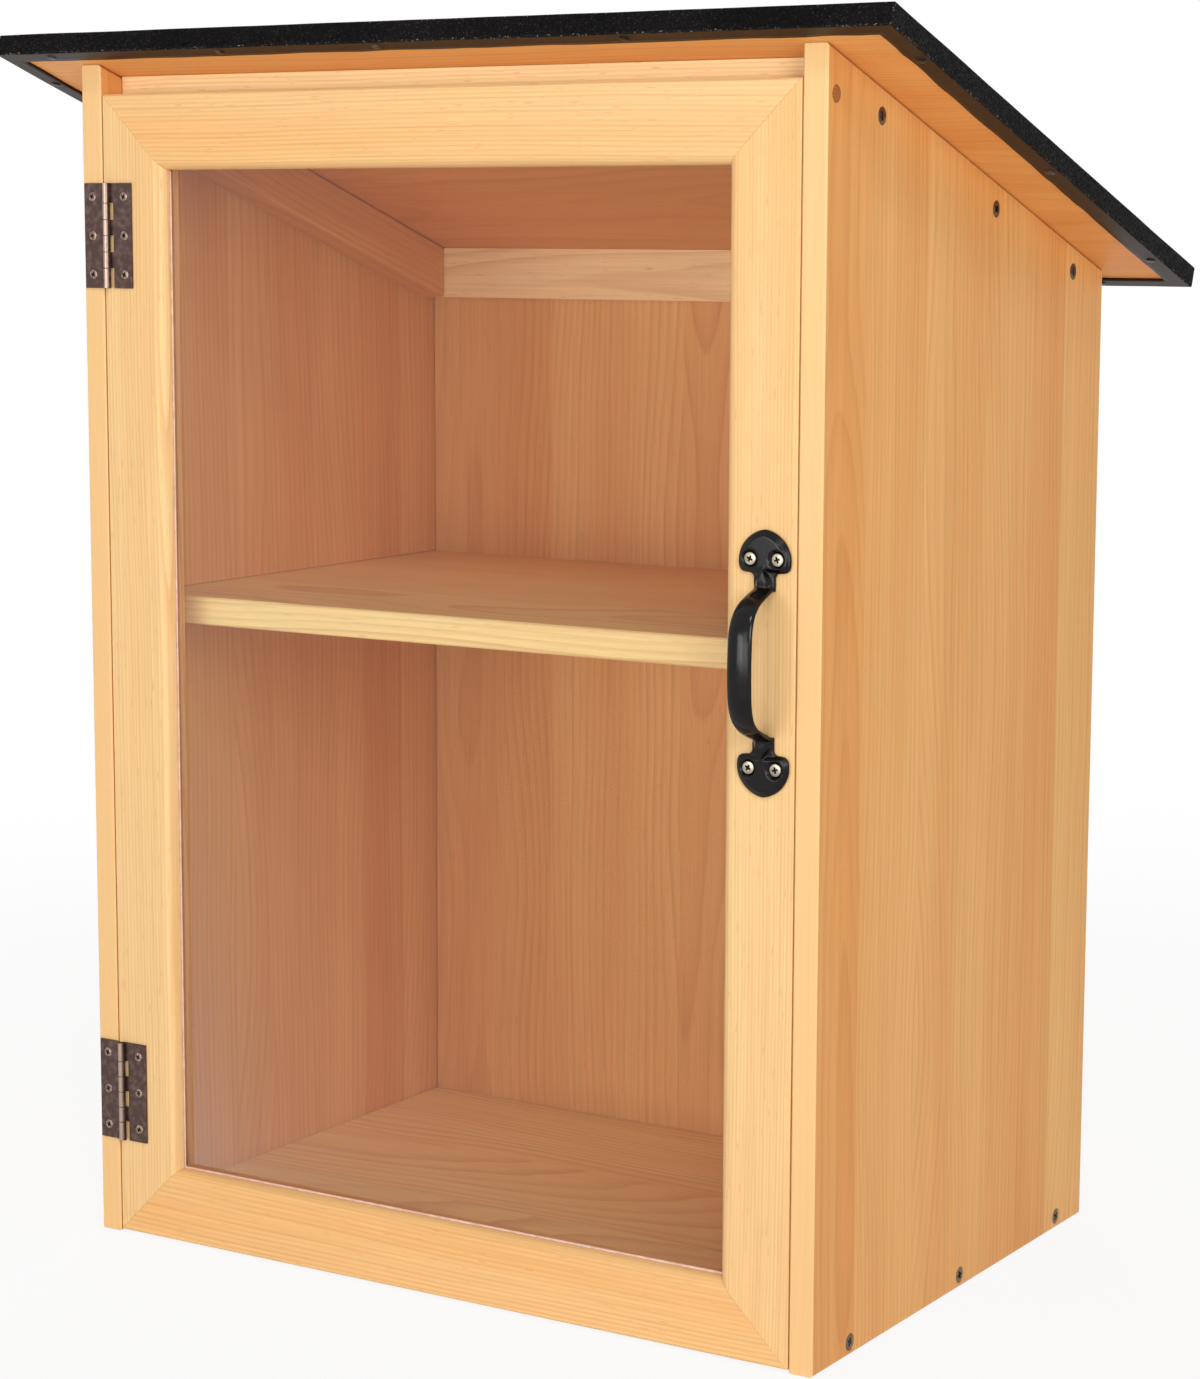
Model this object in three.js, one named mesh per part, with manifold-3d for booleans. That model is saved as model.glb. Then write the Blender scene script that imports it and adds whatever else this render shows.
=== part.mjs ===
// Street book exchange box: a small pine cabinet with a glazed door under a felted lean-to roof.
// Millimetres, +Z up, the door faces -Y, the origin lies under the middle of the cabinet.
import * as THREE from 'three';
import { mergeVertices } from 'three/addons/utils/BufferGeometryUtils.js';
import Module from 'manifold-3d';

const wasm = await Module();
wasm.setup();

// Clearances shared by all pieces
const seatGap = 0.3; // between two faces that rest on each other
const screwGap = 0.2; // all round a screw, pin or plug in its hole
const cutOverrun = 3; // how far a cutter runs past the face it enters

// Carcass of edge-glued pine boards
const cabinetWidth = 412;
const cabinetDepth = 293;
const frontHeight = 585;
const backHeight = 487;
const sideThickness = 12;
const floorThickness = 12;
const backThickness = 12;
const arris = 0.8; // sanded edge of every board
const headerThickness = 12;
const headerLap = 30; // how far the closed door covers the header
const rearRailThickness = 15;
const rearRailHeight = 27;
const rafterWidth = 18;
const rafterHeight = 25.5;

// Shelf, its ends let into stopped housings in the sides
const shelfThickness = 14;
const shelfTop = 325.4;
const shelfSetback = 25;
const housingDepth = 4;

// Roof board with felt turned round its edges and folded under
const roofBoardThickness = 8;
const roofOverhangFront = 18;
const roofOverhangBack = 22.2;
const roofOverhangSide = 39;
const feltThickness = 1;
const feltFold = 11;

// Door frame, rounded inside and rebated behind for the pane
const doorThickness = 15;
const doorTopGap = 14.2; // below the top front corners of the sides
const doorSideGap = 0.7;
const doorBottomGap = 1.1;
const memberWidth = 36.2;
const innerRound = 6;
const lipThickness = 0.4;
const rebateWidth = 8;
const paneThickness = 2.5;
const paneEdgeGap = 0.6;
const beadThickness = 5.2;
const beadRound = 2;

// Butt hinges with six knuckles
const hingeHeight = 50.8;
const hingeLeafWidth = 14.7;
const hingeLeafInset = 1.6; // from the outer face of the side
const hingeLeafThickness = 0.8;
const hingeLeafCorner = 0.3;
const hingePinDiameter = 1.9;
const hingePinGap = 0.1;
const knuckleCount = 6;
const endKnuckleLength = 9.7; // the knuckles between the two ends share the rest
const knuckleGap = 0.3; // between neighbouring knuckles, along the pin
const notchGap = 1.6; // from the barrel to the bottom of a notch
const hingeTopInset = 67.9; // door top to hinge middle
const hingeBottomInset = 73.1; // door bottom to hinge middle
const hingeScrewSpacing = 18.8;
const hingeScrewOffset = 9.9; // from the pin

// Cast bow handle with a spade at each end
const handleLength = 118;
const handleHeight = 319.2; // its middle above the ground
const handleInset = 14.7; // its middle from the latch edge of the door
const spadeWidth = 26;
const spadeHeight = 19;
const spadeThickness = 2.6;
const spadeEdge = 0.7;
const spadeStepDepth = 0.45;
const neckWidth = 10.6;
const neckLength = 8;
const tongueRise = 1.1; // how far the tongue stands above the spade
const bowHalfSpan = 32.2;
const bowReach = 22.4; // spade back to the middle of the strap
const strapWidth = 12;
const strapEndWidth = 9.5;
const strapThickness = 4.2;
const handleScrewSpacing = 13.6;
const handleScrewRise = 6.1; // above the lower edge of the spade
const handleScrewProud = 0.5; // head above the floor of the spade

// Cross-headed countersunk wood screws
const carcassScrew = { head: 8, shank: 4, length: 28, headDepth: 2.6, rim: 0.4 };
const handleScrew = { head: 5.7, shank: 2.8, length: 12, headDepth: 1.9, rim: 0.4 };
const hingeScrew = { head: 4.8, shank: 2.4, length: 12, headDepth: 1.5, rim: 0.2 };
const carcassScrewSink = 0.2; // head below the face of the side
const rafterScrewDrop = 11.5; // below the roof, square to it

// Wooden plug in the right-hand side
const plugDiameter = 7.4;
const plugDepth = 3;
const plugSetback = 7.8;
const plugDrop = 21; // below the top corner of the side

// Magnetic catch on the right-hand side, behind the latch stile
const catchDrop = 90; // door top to its middle
const catchLength = 46;
const catchWidth = 14;
const catchDepth = 14;
const magnetLength = 34;
const magnetWidth = 8;
const magnetDepth = 6;
const magnetProud = 0.4;
const strikeLength = 38;
const strikeWidth = 12;
const strikeThickness = 1.2;

// Shares of the sizes that the places and outlines follow
const floorScrewShares = [0.079, 0.508, 0.931];
const rafterScrewShares = [0.096, 0.59, 0.965];
const recessReachShare = 0.62;
const recessSlotShare = 0.22;
const recessDepthShare = 0.6;
const pointLengthShare = 1.2;
const spadeStepShares = [0.86, 0.76];
const spadeCentreShare = 0.44;
const earWidthShare = 0.62;
const earHeightShare = 0.25;
const shoulderShare = 0.14;
const archShares = [[1, 0.62], [0.52, 0.93]];
const tongueWidthShares = [0.9, 0.42];
const tongueFlareShare = 0.42;
const tongueReachShare = 0.15;
const strapFrontShare = 0.6;
const bowRiseShares = [
  [1.06, 0.06], [1, 0.14], [0.93, 0.4], [0.84, 0.66], [0.7, 0.86], [0.5, 0.97], [0.25, 1], [0, 1.01],
];

// Fineness of round forms
const screwSides = 12;
const barrelSides = 20;
const roundSteps = 6;
const strapSteps = 24;

// Places worked out from the sizes
const frontY = -cabinetDepth / 2;
const backY = cabinetDepth / 2;
const sideOuterX = cabinetWidth / 2;
const sideInnerX = sideOuterX - sideThickness;
const slope = Math.atan2(frontHeight - backHeight, cabinetDepth);
const doorBackY = frontY + doorThickness;
const carcassFrontY = doorBackY + seatGap;
const backPanelY = backY - backThickness;
const headerBackY = carcassFrontY + headerThickness;
const railFrontY = backPanelY - seatGap - rearRailThickness;
const rafterStartY = headerBackY + seatGap;
const rafterEndY = railFrontY - seatGap;
const floorEndY = backPanelY - seatGap;
const doorHalfWidth = sideInnerX - doorSideGap;
const doorTop = frontHeight - doorTopGap;
const doorHeight = doorTop - doorBottomGap;
const rebateFront = innerRound + lipThickness;
const paneFront = rebateFront + seatGap;
const beadFront = paneFront + paneThickness + seatGap;
const pinRadius = hingePinDiameter / 2;
const boreRadius = pinRadius + hingePinGap;
const knuckleRadius = boreRadius + hingeLeafThickness;
const hingeAxisX = hingeLeafInset + hingeLeafWidth - sideOuterX;
const hingeAxisY = frontY - seatGap - knuckleRadius;
const leafFrontY = hingeAxisY + boreRadius;
const handleX = doorHalfWidth - handleInset;
const handleBackY = frontY - seatGap;
const magnetFrontY = doorBackY + strikeThickness + 2 * seatGap;
const catchFrontY = magnetFrontY + magnetProud;
const catchX = sideInnerX - seatGap - catchWidth / 2;
const catchZ = doorTop - catchDrop;

const axisX = new THREE.Vector3(1, 0, 0);
const axisY = new THREE.Vector3(0, 1, 0);
const axisZ = new THREE.Vector3(0, 0, 1);

// Height of the roof's underside above the ground at a distance y
function roofUnderside(y) {
  return frontHeight - (y - frontY) * Math.tan(slope);
}

// A frame whose third axis looks along a level direction and whose first points up
function facing(direction, x, y, z) {
  const across = new THREE.Vector3().crossVectors(direction, axisZ);
  return new THREE.Matrix4().makeBasis(axisZ, across, direction).setPosition(x, y, z);
}

// A closed mesh as a solid that can be joined and cut
function solidOf(geometry) {
  const bare = geometry.clone();
  bare.deleteAttribute('normal');
  bare.deleteAttribute('uv');
  const merged = mergeVertices(bare);
  const corners = merged.index.array;
  const kept = [];
  for (let i = 0; i < corners.length; i += 3) {
    const [a, b, c] = corners.slice(i, i + 3);
    if (a !== b && b !== c && c !== a) kept.push(a, b, c);
  }
  return new wasm.Manifold(new wasm.Mesh({
    numProp: 3,
    vertProperties: merged.attributes.position.array,
    triVerts: Uint32Array.from(kept),
  }));
}

function geometryOf(solid) {
  const mesh = solid.getMesh();
  const geometry = new THREE.BufferGeometry();
  geometry.setAttribute('position', new THREE.BufferAttribute(mesh.vertProperties, 3));
  geometry.setIndex(new THREE.BufferAttribute(mesh.triVerts, 1));
  return geometry;
}

function cutAway(geometry, cutters) {
  return geometryOf(cutters.reduce((rest, cutter) => rest.subtract(solidOf(cutter)), solidOf(geometry)));
}

function outlineOf(points) {
  return new THREE.Shape(points.map(([u, v]) => new THREE.Vector2(u, v)));
}

// Straight prism, its outline drawn in X and Y and run up along Z
function prism(outline, depth, edge = 0) {
  return new THREE.ExtrudeGeometry(outline, {
    depth: depth - 2 * edge,
    bevelEnabled: edge > 0,
    bevelThickness: edge,
    bevelSize: edge,
    bevelOffset: -edge,
    bevelSegments: 1,
    curveSegments: roundSteps,
  }).translate(0, 0, edge);
}

// The same with the outline drawn in Y and Z and run along X from a start
function prismAlongX(outline, start, depth, edge = 0) {
  const turn = new THREE.Matrix4().makeBasis(axisY, axisZ, axisX);
  return prism(outline, depth, edge).applyMatrix4(turn).translate(start, 0, 0);
}

// The same with the outline drawn in X and Z and run towards the viewer from a start
function prismTowardsFront(outline, start, depth, edge = 0) {
  const turn = new THREE.Matrix4().makeBasis(axisX, axisZ, axisY.clone().negate());
  return prism(outline, depth, edge).applyMatrix4(turn).translate(0, start, 0);
}

// Block between two corners with every edge taken off
function board(low, high, edge = arris) {
  const [x, y] = [high[0] - low[0], high[1] - low[1]];
  const outline = outlineOf([
    [edge, 0], [x - edge, 0], [x, edge], [x, y - edge], [x - edge, y], [edge, y], [0, y - edge], [0, edge],
  ]);
  return prism(outline, high[2] - low[2], edge).translate(...low);
}

// Plain block for cutting
function block(low, high) {
  const [x, y, z] = high.map((value, i) => value - low[i]);
  return new THREE.BoxGeometry(x, y, z).translate(low[0] + x / 2, low[1] + y / 2, low[2] + z / 2);
}

// Revolved solid about Z, its profile given as radius and height from the bottom up
function turned(profile, sides) {
  const points = profile.map(([radius, height]) => new THREE.Vector2(radius, height));
  return new THREE.LatheGeometry(points, sides).rotateX(Math.PI / 2);
}

// Countersunk wood screw, its head flush with Z = 0, or the hole that takes it
function screwBody(size, gap, overrun) {
  const head = size.head / 2 + gap;
  const shank = size.shank / 2 + gap;
  const point = size.shank * pointLengthShare;
  return turned([
    [0, -size.length - gap], [shank, point - size.length], [shank, -size.headDepth],
    [head, -size.rim], [head, overrun], [0, overrun],
  ], screwSides);
}

function screwGeometry(size) {
  const reach = (size.head / 2) * recessReachShare;
  const slot = (size.head / 2) * recessSlotShare;
  const depth = size.headDepth * recessDepthShare;
  const arms = [[reach, slot], [slot, reach]];
  const recess = arms.map(([x, y]) => block([-x, -y, -depth], [x, y, cutOverrun]));
  return cutAway(screwBody(size, 0, 0), recess);
}

function screwHole(size, seat) {
  return screwBody(size, screwGap, cutOverrun).applyMatrix4(seat);
}

// Finishes
const pine = { color: 0xe9b873, roughness: 0.55, metalness: 0 };
const paleBead = { color: 0xe0a268, roughness: 0.55, metalness: 0 };
const felt = { color: 0x1c1b1c, roughness: 0.9, metalness: 0 };
const clearSheet = { color: 0xe8eef0, roughness: 0.05, metalness: 0, transparent: true, opacity: 0.25 };
const bronze = { color: 0x4a3b33, roughness: 0.45, metalness: 0.8 };
const blackEnamel = { color: 0x141416, roughness: 0.25, metalness: 0.4 };
const nickel = { color: 0xb7ab93, roughness: 0.35, metalness: 0.9 };
const catchPlastic = { color: 0xf0ece2, roughness: 0.5, metalness: 0 };
const plugWood = { color: 0x9a6238, roughness: 0.6, metalness: 0 };

const bookBox = new THREE.Group();
const cabinet = new THREE.Group();
const roof = new THREE.Group();
const door = new THREE.Group();
roof.position.set(0, frontY, frontHeight);
roof.rotation.x = -slope;
cabinet.add(roof);
bookBox.add(cabinet, door);

function addPiece(parent, name, geometry, finish) {
  const mesh = new THREE.Mesh(geometry, new THREE.MeshStandardMaterial(finish));
  mesh.name = name;
  parent.add(mesh);
  return mesh;
}

function addScrew(parent, name, size, seat) {
  addPiece(parent, name, screwGeometry(size), size === handleScrew ? nickel : bronze).applyMatrix4(seat);
}

// Screws through each side: one row into the floor, one row up the slope into the rafter
const sides = [
  { name: 'left', sign: -1 },
  { name: 'right', sign: 1 },
];
const rafterLength = rafterEndY - rafterStartY;
const floorLength = floorEndY - carcassFrontY;
for (const side of sides) {
  const outward = axisX.clone().multiplyScalar(side.sign);
  const headX = side.sign * (sideOuterX - carcassScrewSink);
  const floorSeats = floorScrewShares.map((share) => (
    facing(outward, headX, carcassFrontY + share * floorLength, floorThickness / 2)
  ));
  const rafterSeats = rafterScrewShares.map((share) => {
    const y = rafterStartY + share * rafterLength;
    return facing(outward, headX, y, roofUnderside(y) - rafterScrewDrop / Math.cos(slope));
  });
  side.rows = { floor: floorSeats, rafter: rafterSeats };
}

// Hinge screws, three to a leaf, seen from the front
const hinges = [
  { name: 'top', middle: doorTop - hingeTopInset },
  { name: 'bottom', middle: doorBottomGap + hingeBottomInset },
];
const leaves = [
  { name: 'frame', sign: -1, parent: cabinet, firstKnuckle: 0 },
  { name: 'door', sign: 1, parent: door, firstKnuckle: 1 },
];
const forward = axisY.clone().negate();

function leafScrewSeats(hinge, leaf) {
  return [-1, 0, 1].map((step) => facing(
    forward,
    hingeAxisX + leaf.sign * hingeScrewOffset,
    leafFrontY,
    hinge.middle + step * hingeScrewSpacing,
  ));
}

function leafScrewHoles(leaf) {
  return hinges.flatMap((hinge) => leafScrewSeats(hinge, leaf)).map((seat) => screwHole(hingeScrew, seat));
}

// Side panels, with the shelf housing, the screw holes and the plugged hole
const plugZ = frontHeight - plugDrop;
const plugSeat = facing(axisX, sideOuterX, frontY + plugSetback, plugZ);

function plugBody(gap, overrun) {
  const radius = plugDiameter / 2 + gap;
  const foot = -plugDepth - gap;
  return turned([[0, foot], [radius, foot], [radius, overrun], [0, overrun]], barrelSides);
}

for (const side of sides) {
  const outline = outlineOf([[frontY, 0], [backY, 0], [backY, backHeight], [frontY, frontHeight]]);
  const start = side.sign > 0 ? sideInnerX : -sideOuterX;
  const housing = [side.sign * (sideInnerX - cutOverrun), side.sign * (sideInnerX + housingDepth)];
  const cutters = [
    ...side.rows.floor.map((seat) => screwHole(carcassScrew, seat)),
    ...side.rows.rafter.map((seat) => screwHole(carcassScrew, seat)),
    block(
      [Math.min(...housing), frontY + shelfSetback - seatGap, shelfTop - shelfThickness - seatGap],
      [Math.max(...housing), backPanelY, shelfTop + seatGap],
    ),
  ];
  if (side.sign < 0) {
    cutters.push(...leafScrewHoles(leaves[0]));
  } else {
    cutters.push(plugBody(screwGap, cutOverrun).applyMatrix4(plugSeat));
  }
  const panel = prismAlongX(outline, start, sideThickness, arris);
  addPiece(cabinet, `side_panel_${side.name}`, cutAway(panel, cutters), pine);
}
addPiece(cabinet, 'wood_plug', plugBody(0, 0), plugWood).applyMatrix4(plugSeat);

// Floor and back between the sides
const boardX = sideInnerX - seatGap;
const floorHoles = sides.flatMap((side) => side.rows.floor.map((seat) => screwHole(carcassScrew, seat)));
const floorPanel = board([-boardX, carcassFrontY, 0], [boardX, floorEndY, floorThickness]);
addPiece(cabinet, 'floor_panel', cutAway(floorPanel, floorHoles), pine);

function underRoof(nearY, farY, nearBottom, farBottom) {
  return outlineOf([
    [nearY, nearBottom], [farY, farBottom], [farY, roofUnderside(farY)], [nearY, roofUnderside(nearY)],
  ]);
}

const backOutline = underRoof(backPanelY, backY, 0, 0);
addPiece(cabinet, 'back_panel', prismAlongX(backOutline, -boardX, 2 * boardX, arris), pine);

// Cross rails under the roof
const headerBottom = doorTop - headerLap;
const headerOutline = underRoof(carcassFrontY, headerBackY, headerBottom, headerBottom);
addPiece(cabinet, 'header_rail', prismAlongX(headerOutline, -boardX, 2 * boardX, arris), pine);
const railBottom = roofUnderside(railFrontY) - rearRailHeight;
const railOutline = underRoof(railFrontY, railFrontY + rearRailThickness, railBottom, railBottom);
addPiece(cabinet, 'rear_rail', prismAlongX(railOutline, -boardX, 2 * boardX, arris), pine);

// Rafters on the sides' inner faces, plumb cut between the rails
const rafterFall = rafterHeight / Math.cos(slope);
const rafterOutline = underRoof(
  rafterStartY,
  rafterEndY,
  roofUnderside(rafterStartY) - rafterFall,
  roofUnderside(rafterEndY) - rafterFall,
);
for (const side of sides) {
  const start = side.sign > 0 ? boardX - rafterWidth : -boardX;
  const holes = side.rows.rafter.map((seat) => screwHole(carcassScrew, seat));
  const rafter = prismAlongX(rafterOutline, start, rafterWidth, arris);
  addPiece(cabinet, `rafter_${side.name}`, cutAway(rafter, holes), pine);
  for (const [row, seats] of Object.entries(side.rows)) {
    seats.forEach((seat, i) => addScrew(cabinet, `${row}_screw_${side.name}_${i + 1}`, carcassScrew, seat));
  }
}

// Shelf
const shelfX = sideInnerX + housingDepth - seatGap;
addPiece(cabinet, 'shelf', board(
  [-shelfX, frontY + shelfSetback, shelfTop - shelfThickness],
  [shelfX, floorEndY, shelfTop],
), pine);

// Roof board and felt, drawn flat in the sloping group with Y down the slope
const roofHalfWidth = sideOuterX + roofOverhangSide;
const roofStart = -roofOverhangFront / Math.cos(slope);
const roofEnd = (cabinetDepth + roofOverhangBack) / Math.cos(slope);
const feltBuild = feltThickness + seatGap;
const boardTop = seatGap + roofBoardThickness;

function roofBlock(make, inset, low, high) {
  const halfWidth = roofHalfWidth - inset;
  return make([-halfWidth, roofStart + inset, low], [halfWidth, roofEnd - inset, high]);
}

addPiece(roof, 'roof_board', roofBlock(board, feltBuild, seatGap, boardTop), pine);
addPiece(roof, 'roof_felt', cutAway(roofBlock(board, 0, -feltThickness, boardTop + feltBuild), [
  roofBlock(block, feltThickness, 0, boardTop + seatGap),
  roofBlock(block, feltFold, -feltThickness - cutOverrun, seatGap),
]), felt);

// Door frame: four members of one moulding, mitred at the corners.
// The section is drawn with its width along X from the outer edge and its thickness along Y.
const sightWidth = memberWidth - innerRound;
const memberSection = new THREE.Shape();
memberSection.moveTo(arris, 0);
memberSection.lineTo(sightWidth, 0);
memberSection.absarc(sightWidth, innerRound, innerRound, -Math.PI / 2, 0, false);
memberSection.lineTo(memberWidth, rebateFront);
memberSection.lineTo(memberWidth - rebateWidth, rebateFront);
memberSection.lineTo(memberWidth - rebateWidth, doorThickness);
memberSection.lineTo(arris, doorThickness);
memberSection.lineTo(0, doorThickness - arris);
memberSection.lineTo(0, arris);

// Bead that holds the pane in the rebate, flush with the sight edge
const beadOuter = memberWidth - rebateWidth + seatGap;
const beadBack = beadFront + beadThickness;
const beadSection = new THREE.Shape();
beadSection.moveTo(beadOuter, beadFront);
beadSection.lineTo(memberWidth, beadFront);
beadSection.lineTo(memberWidth, beadBack - beadRound);
beadSection.absarc(memberWidth - beadRound, beadBack - beadRound, beadRound, 0, Math.PI / 2, false);
beadSection.lineTo(beadOuter, beadBack);

// A length of moulding whose ends are drawn in by the distance from the outer edge
function mitred(section, length) {
  const geometry = prism(section, length);
  const places = geometry.attributes.position;
  const shift = seatGap / Math.SQRT2;
  for (let i = 0; i < places.count; i += 1) {
    const inset = places.getX(i) + shift;
    places.setZ(i, places.getZ(i) > length / 2 ? length - inset : inset);
  }
  return geometry;
}

// Each member stands on a corner of the door and grows inward along its own first axis
const doorWidth = 2 * doorHalfWidth;
const members = [
  { name: 'stile_hinge', inward: axisX, x: -doorHalfWidth, z: doorBottomGap, length: doorHeight },
  { name: 'stile_latch', inward: axisX.clone().negate(), x: doorHalfWidth, z: doorTop, length: doorHeight },
  { name: 'rail_bottom', inward: axisZ, x: doorHalfWidth, z: doorBottomGap, length: doorWidth },
  { name: 'rail_top', inward: axisZ.clone().negate(), x: -doorHalfWidth, z: doorTop, length: doorWidth },
];

// Spade handle screws, two to a spade, seen from the front
const spadeFloor = spadeThickness - spadeStepShares.length * spadeStepDepth;
const spadeFoot = handleLength / 2 - spadeHeight;
const handleScrewZ = spadeFoot + handleScrewRise;
const handleScrewY = handleBackY - spadeFloor - handleScrewProud;
const handleSeats = [[-1, 1], [1, 1], [-1, -1], [1, -1]].map(([acrossSign, upSign]) => facing(
  forward,
  handleX + (acrossSign * handleScrewSpacing) / 2,
  handleScrewY,
  handleHeight + upSign * handleScrewZ,
));
const handleHoles = handleSeats.map((seat) => screwHole(handleScrew, seat));

const memberHoles = {
  stile_hinge: leafScrewHoles(leaves[1]),
  stile_latch: handleHoles,
};
for (const member of members) {
  const along = new THREE.Vector3().crossVectors(member.inward, axisY);
  const turn = new THREE.Matrix4().makeBasis(member.inward, axisY, along);
  turn.setPosition(member.x, frontY, member.z);
  const wood = mitred(memberSection, member.length).applyMatrix4(turn);
  const holes = memberHoles[member.name] ?? [];
  addPiece(door, `door_${member.name}`, cutAway(wood, holes), pine);
  const bead = mitred(beadSection, member.length).applyMatrix4(turn);
  addPiece(door, `glazing_bead_${member.name}`, bead, paleBead);
}

// Clear pane in the rebate
const paneInset = memberWidth - rebateWidth + paneEdgeGap;
addPiece(door, 'door_pane', block(
  [paneInset - doorHalfWidth, frontY + paneFront, doorBottomGap + paneInset],
  [doorHalfWidth - paneInset, frontY + paneFront + paneThickness, doorTop - paneInset],
), clearSheet);

// Height of the joint under a knuckle, measured from the middle of the hinge
const innerKnuckleLength = (hingeHeight - 2 * endKnuckleLength) / (knuckleCount - 2);

function knuckleFoot(i) {
  const foot = -hingeHeight / 2;
  if (i === 0) return foot;
  return i === knuckleCount ? -foot : foot + endKnuckleLength + (i - 1) * innerKnuckleLength;
}

// Hinge leaf: a plate with notches, rolled at its edge into every second knuckle
function leafPlate(leaf) {
  const [outer, notch] = [hingeLeafWidth, knuckleRadius + notchGap];
  const foot = knuckleFoot(0);
  const points = [[outer, -foot - hingeLeafCorner], [outer - hingeLeafCorner, -foot]];
  for (let i = knuckleCount - 1; i >= 0; i -= 1) {
    const held = i % 2 === leaf.firstKnuckle;
    const [low, high] = [knuckleFoot(i), knuckleFoot(i + 1)];
    const top = held && i < knuckleCount - 1 ? high - knuckleGap / 2 : high;
    const bottom = held && i > 0 ? low + knuckleGap / 2 : low;
    if (held) points.push([notch, top], [0, top], [0, bottom], [notch, bottom]);
    if (!held && i === knuckleCount - 1) points.push([notch, high]);
    if (!held && i === 0) points.push([notch, low]);
  }
  points.push([outer - hingeLeafCorner, foot], [outer, foot + hingeLeafCorner]);
  const mirrored = points.map(([x, z]) => [leaf.sign * x, z]);
  return prismTowardsFront(outlineOf(mirrored), knuckleRadius, hingeLeafThickness);
}

function knuckle(i) {
  const ring = new THREE.Shape().absarc(0, 0, knuckleRadius, 0, 2 * Math.PI, false);
  ring.holes.push(new THREE.Path().absarc(0, 0, boreRadius, 0, 2 * Math.PI, true));
  const depth = knuckleFoot(i + 1) - knuckleFoot(i) - knuckleGap;
  return new THREE.ExtrudeGeometry(ring, { depth, bevelEnabled: false, curveSegments: barrelSides / 2 })
    .translate(0, 0, knuckleFoot(i) + knuckleGap / 2);
}

for (const hinge of hinges) {
  const middle = new THREE.Matrix4().makeTranslation(hingeAxisX, hingeAxisY, hinge.middle);
  const back = middle.clone().invert();
  for (const leaf of leaves) {
    let solid = solidOf(leafPlate(leaf));
    for (let i = leaf.firstKnuckle; i < knuckleCount; i += 2) solid = solid.add(solidOf(knuckle(i)));
    leafScrewSeats(hinge, leaf).forEach((seat, i) => {
      solid = solid.subtract(solidOf(screwHole(hingeScrew, seat).applyMatrix4(back)));
      addScrew(leaf.parent, `hinge_${hinge.name}_${leaf.name}_screw_${i + 1}`, hingeScrew, seat);
    });
    const name = `hinge_${hinge.name}_${leaf.name}_leaf`;
    addPiece(leaf.parent, name, geometryOf(solid), bronze).applyMatrix4(middle);
  }
  const pin = new THREE.CylinderGeometry(pinRadius, pinRadius, hingeHeight, barrelSides);
  addPiece(cabinet, `hinge_${hinge.name}_pin`, pin.rotateX(Math.PI / 2), bronze).applyMatrix4(middle);
}

// Spade of the handle, its lower edge on Y = 0 and its tip up, with or without the neck
function spadeOutline(scale, withNeck) {
  const halfNeck = neckWidth / 2;
  const centre = spadeCentreShare * spadeHeight;
  const at = ([across, up]) => [
    (scale * across * spadeWidth) / 2,
    centre + scale * (up * spadeHeight - centre),
  ];
  const shoulder = -shoulderShare * spadeHeight;
  const shape = new THREE.Shape();
  if (withNeck) {
    shape.moveTo(halfNeck, -neckLength);
    shape.lineTo(halfNeck, shoulder);
    shape.quadraticCurveTo(halfNeck, 0, ...at([earWidthShare, 0]));
  } else {
    shape.moveTo(...at([earWidthShare, 0]));
  }
  const [low, high] = archShares;
  shape.quadraticCurveTo(...at([1, 0]), ...at([1, earHeightShare]));
  shape.bezierCurveTo(...at(low), ...at(high), ...at([0, 1]));
  shape.bezierCurveTo(...at([-high[0], high[1]]), ...at([-low[0], low[1]]), ...at([-1, earHeightShare]));
  shape.quadraticCurveTo(...at([-1, 0]), ...at([-earWidthShare, 0]));
  if (withNeck) {
    shape.quadraticCurveTo(-halfNeck, 0, -halfNeck, shoulder);
    shape.lineTo(-halfNeck, -neckLength);
  }
  return shape;
}

// Spade dished in steps inside its rim, with a tongue that runs up from the neck
function spadeSolid() {
  let solid = solidOf(prismTowardsFront(spadeOutline(1, true), 0, spadeThickness, spadeEdge));
  spadeStepShares.forEach((share, i) => {
    const floor = spadeThickness - (i + 1) * spadeStepDepth;
    const dish = prismTowardsFront(spadeOutline(share, false), -floor, spadeThickness);
    solid = solid.subtract(solidOf(dish));
  });
  const [foot, waist] = tongueWidthShares.map((share) => (share * neckWidth) / 2);
  const flare = -tongueFlareShare * neckLength;
  const tongue = outlineOf([
    [-foot, -neckLength], [foot, -neckLength], [foot, flare], [waist, 0],
    [0, tongueReachShare * spadeHeight], [-waist, 0], [-foot, flare],
  ]);
  return solid.add(solidOf(prismTowardsFront(tongue, 0, spadeThickness + tongueRise, tongueRise)));
}

// Bow between the spades: a strap, flat behind and crowned in front, narrower at its ends
function bowSolid() {
  const rise = bowRiseShares.map(([along, out]) => (
    new THREE.Vector3(0, -out * bowReach, along * bowHalfSpan)
  ));
  const lower = rise.slice(0, -1).map((point) => new THREE.Vector3(0, point.y, -point.z));
  const path = new THREE.CatmullRomCurve3([...lower, ...rise.reverse()]);
  const section = new THREE.Shape();
  const front = strapThickness * strapFrontShare;
  section.absellipse(0, 0, strapWidth / 2, front, 0, Math.PI, false);
  section.absellipse(0, 0, strapWidth / 2, strapThickness - front, Math.PI, 2 * Math.PI, false);
  const settings = { steps: strapSteps, extrudePath: path, curveSegments: roundSteps };
  const geometry = new THREE.ExtrudeGeometry(section, settings);
  const places = geometry.attributes.position;
  for (let i = 0; i < places.count; i += 1) {
    const share = Math.min(1, Math.abs(places.getZ(i)) / bowHalfSpan);
    const width = THREE.MathUtils.lerp(strapWidth, strapEndWidth, share ** 3);
    places.setX(i, (places.getX(i) * width) / strapWidth);
  }
  return solidOf(geometry);
}

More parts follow.
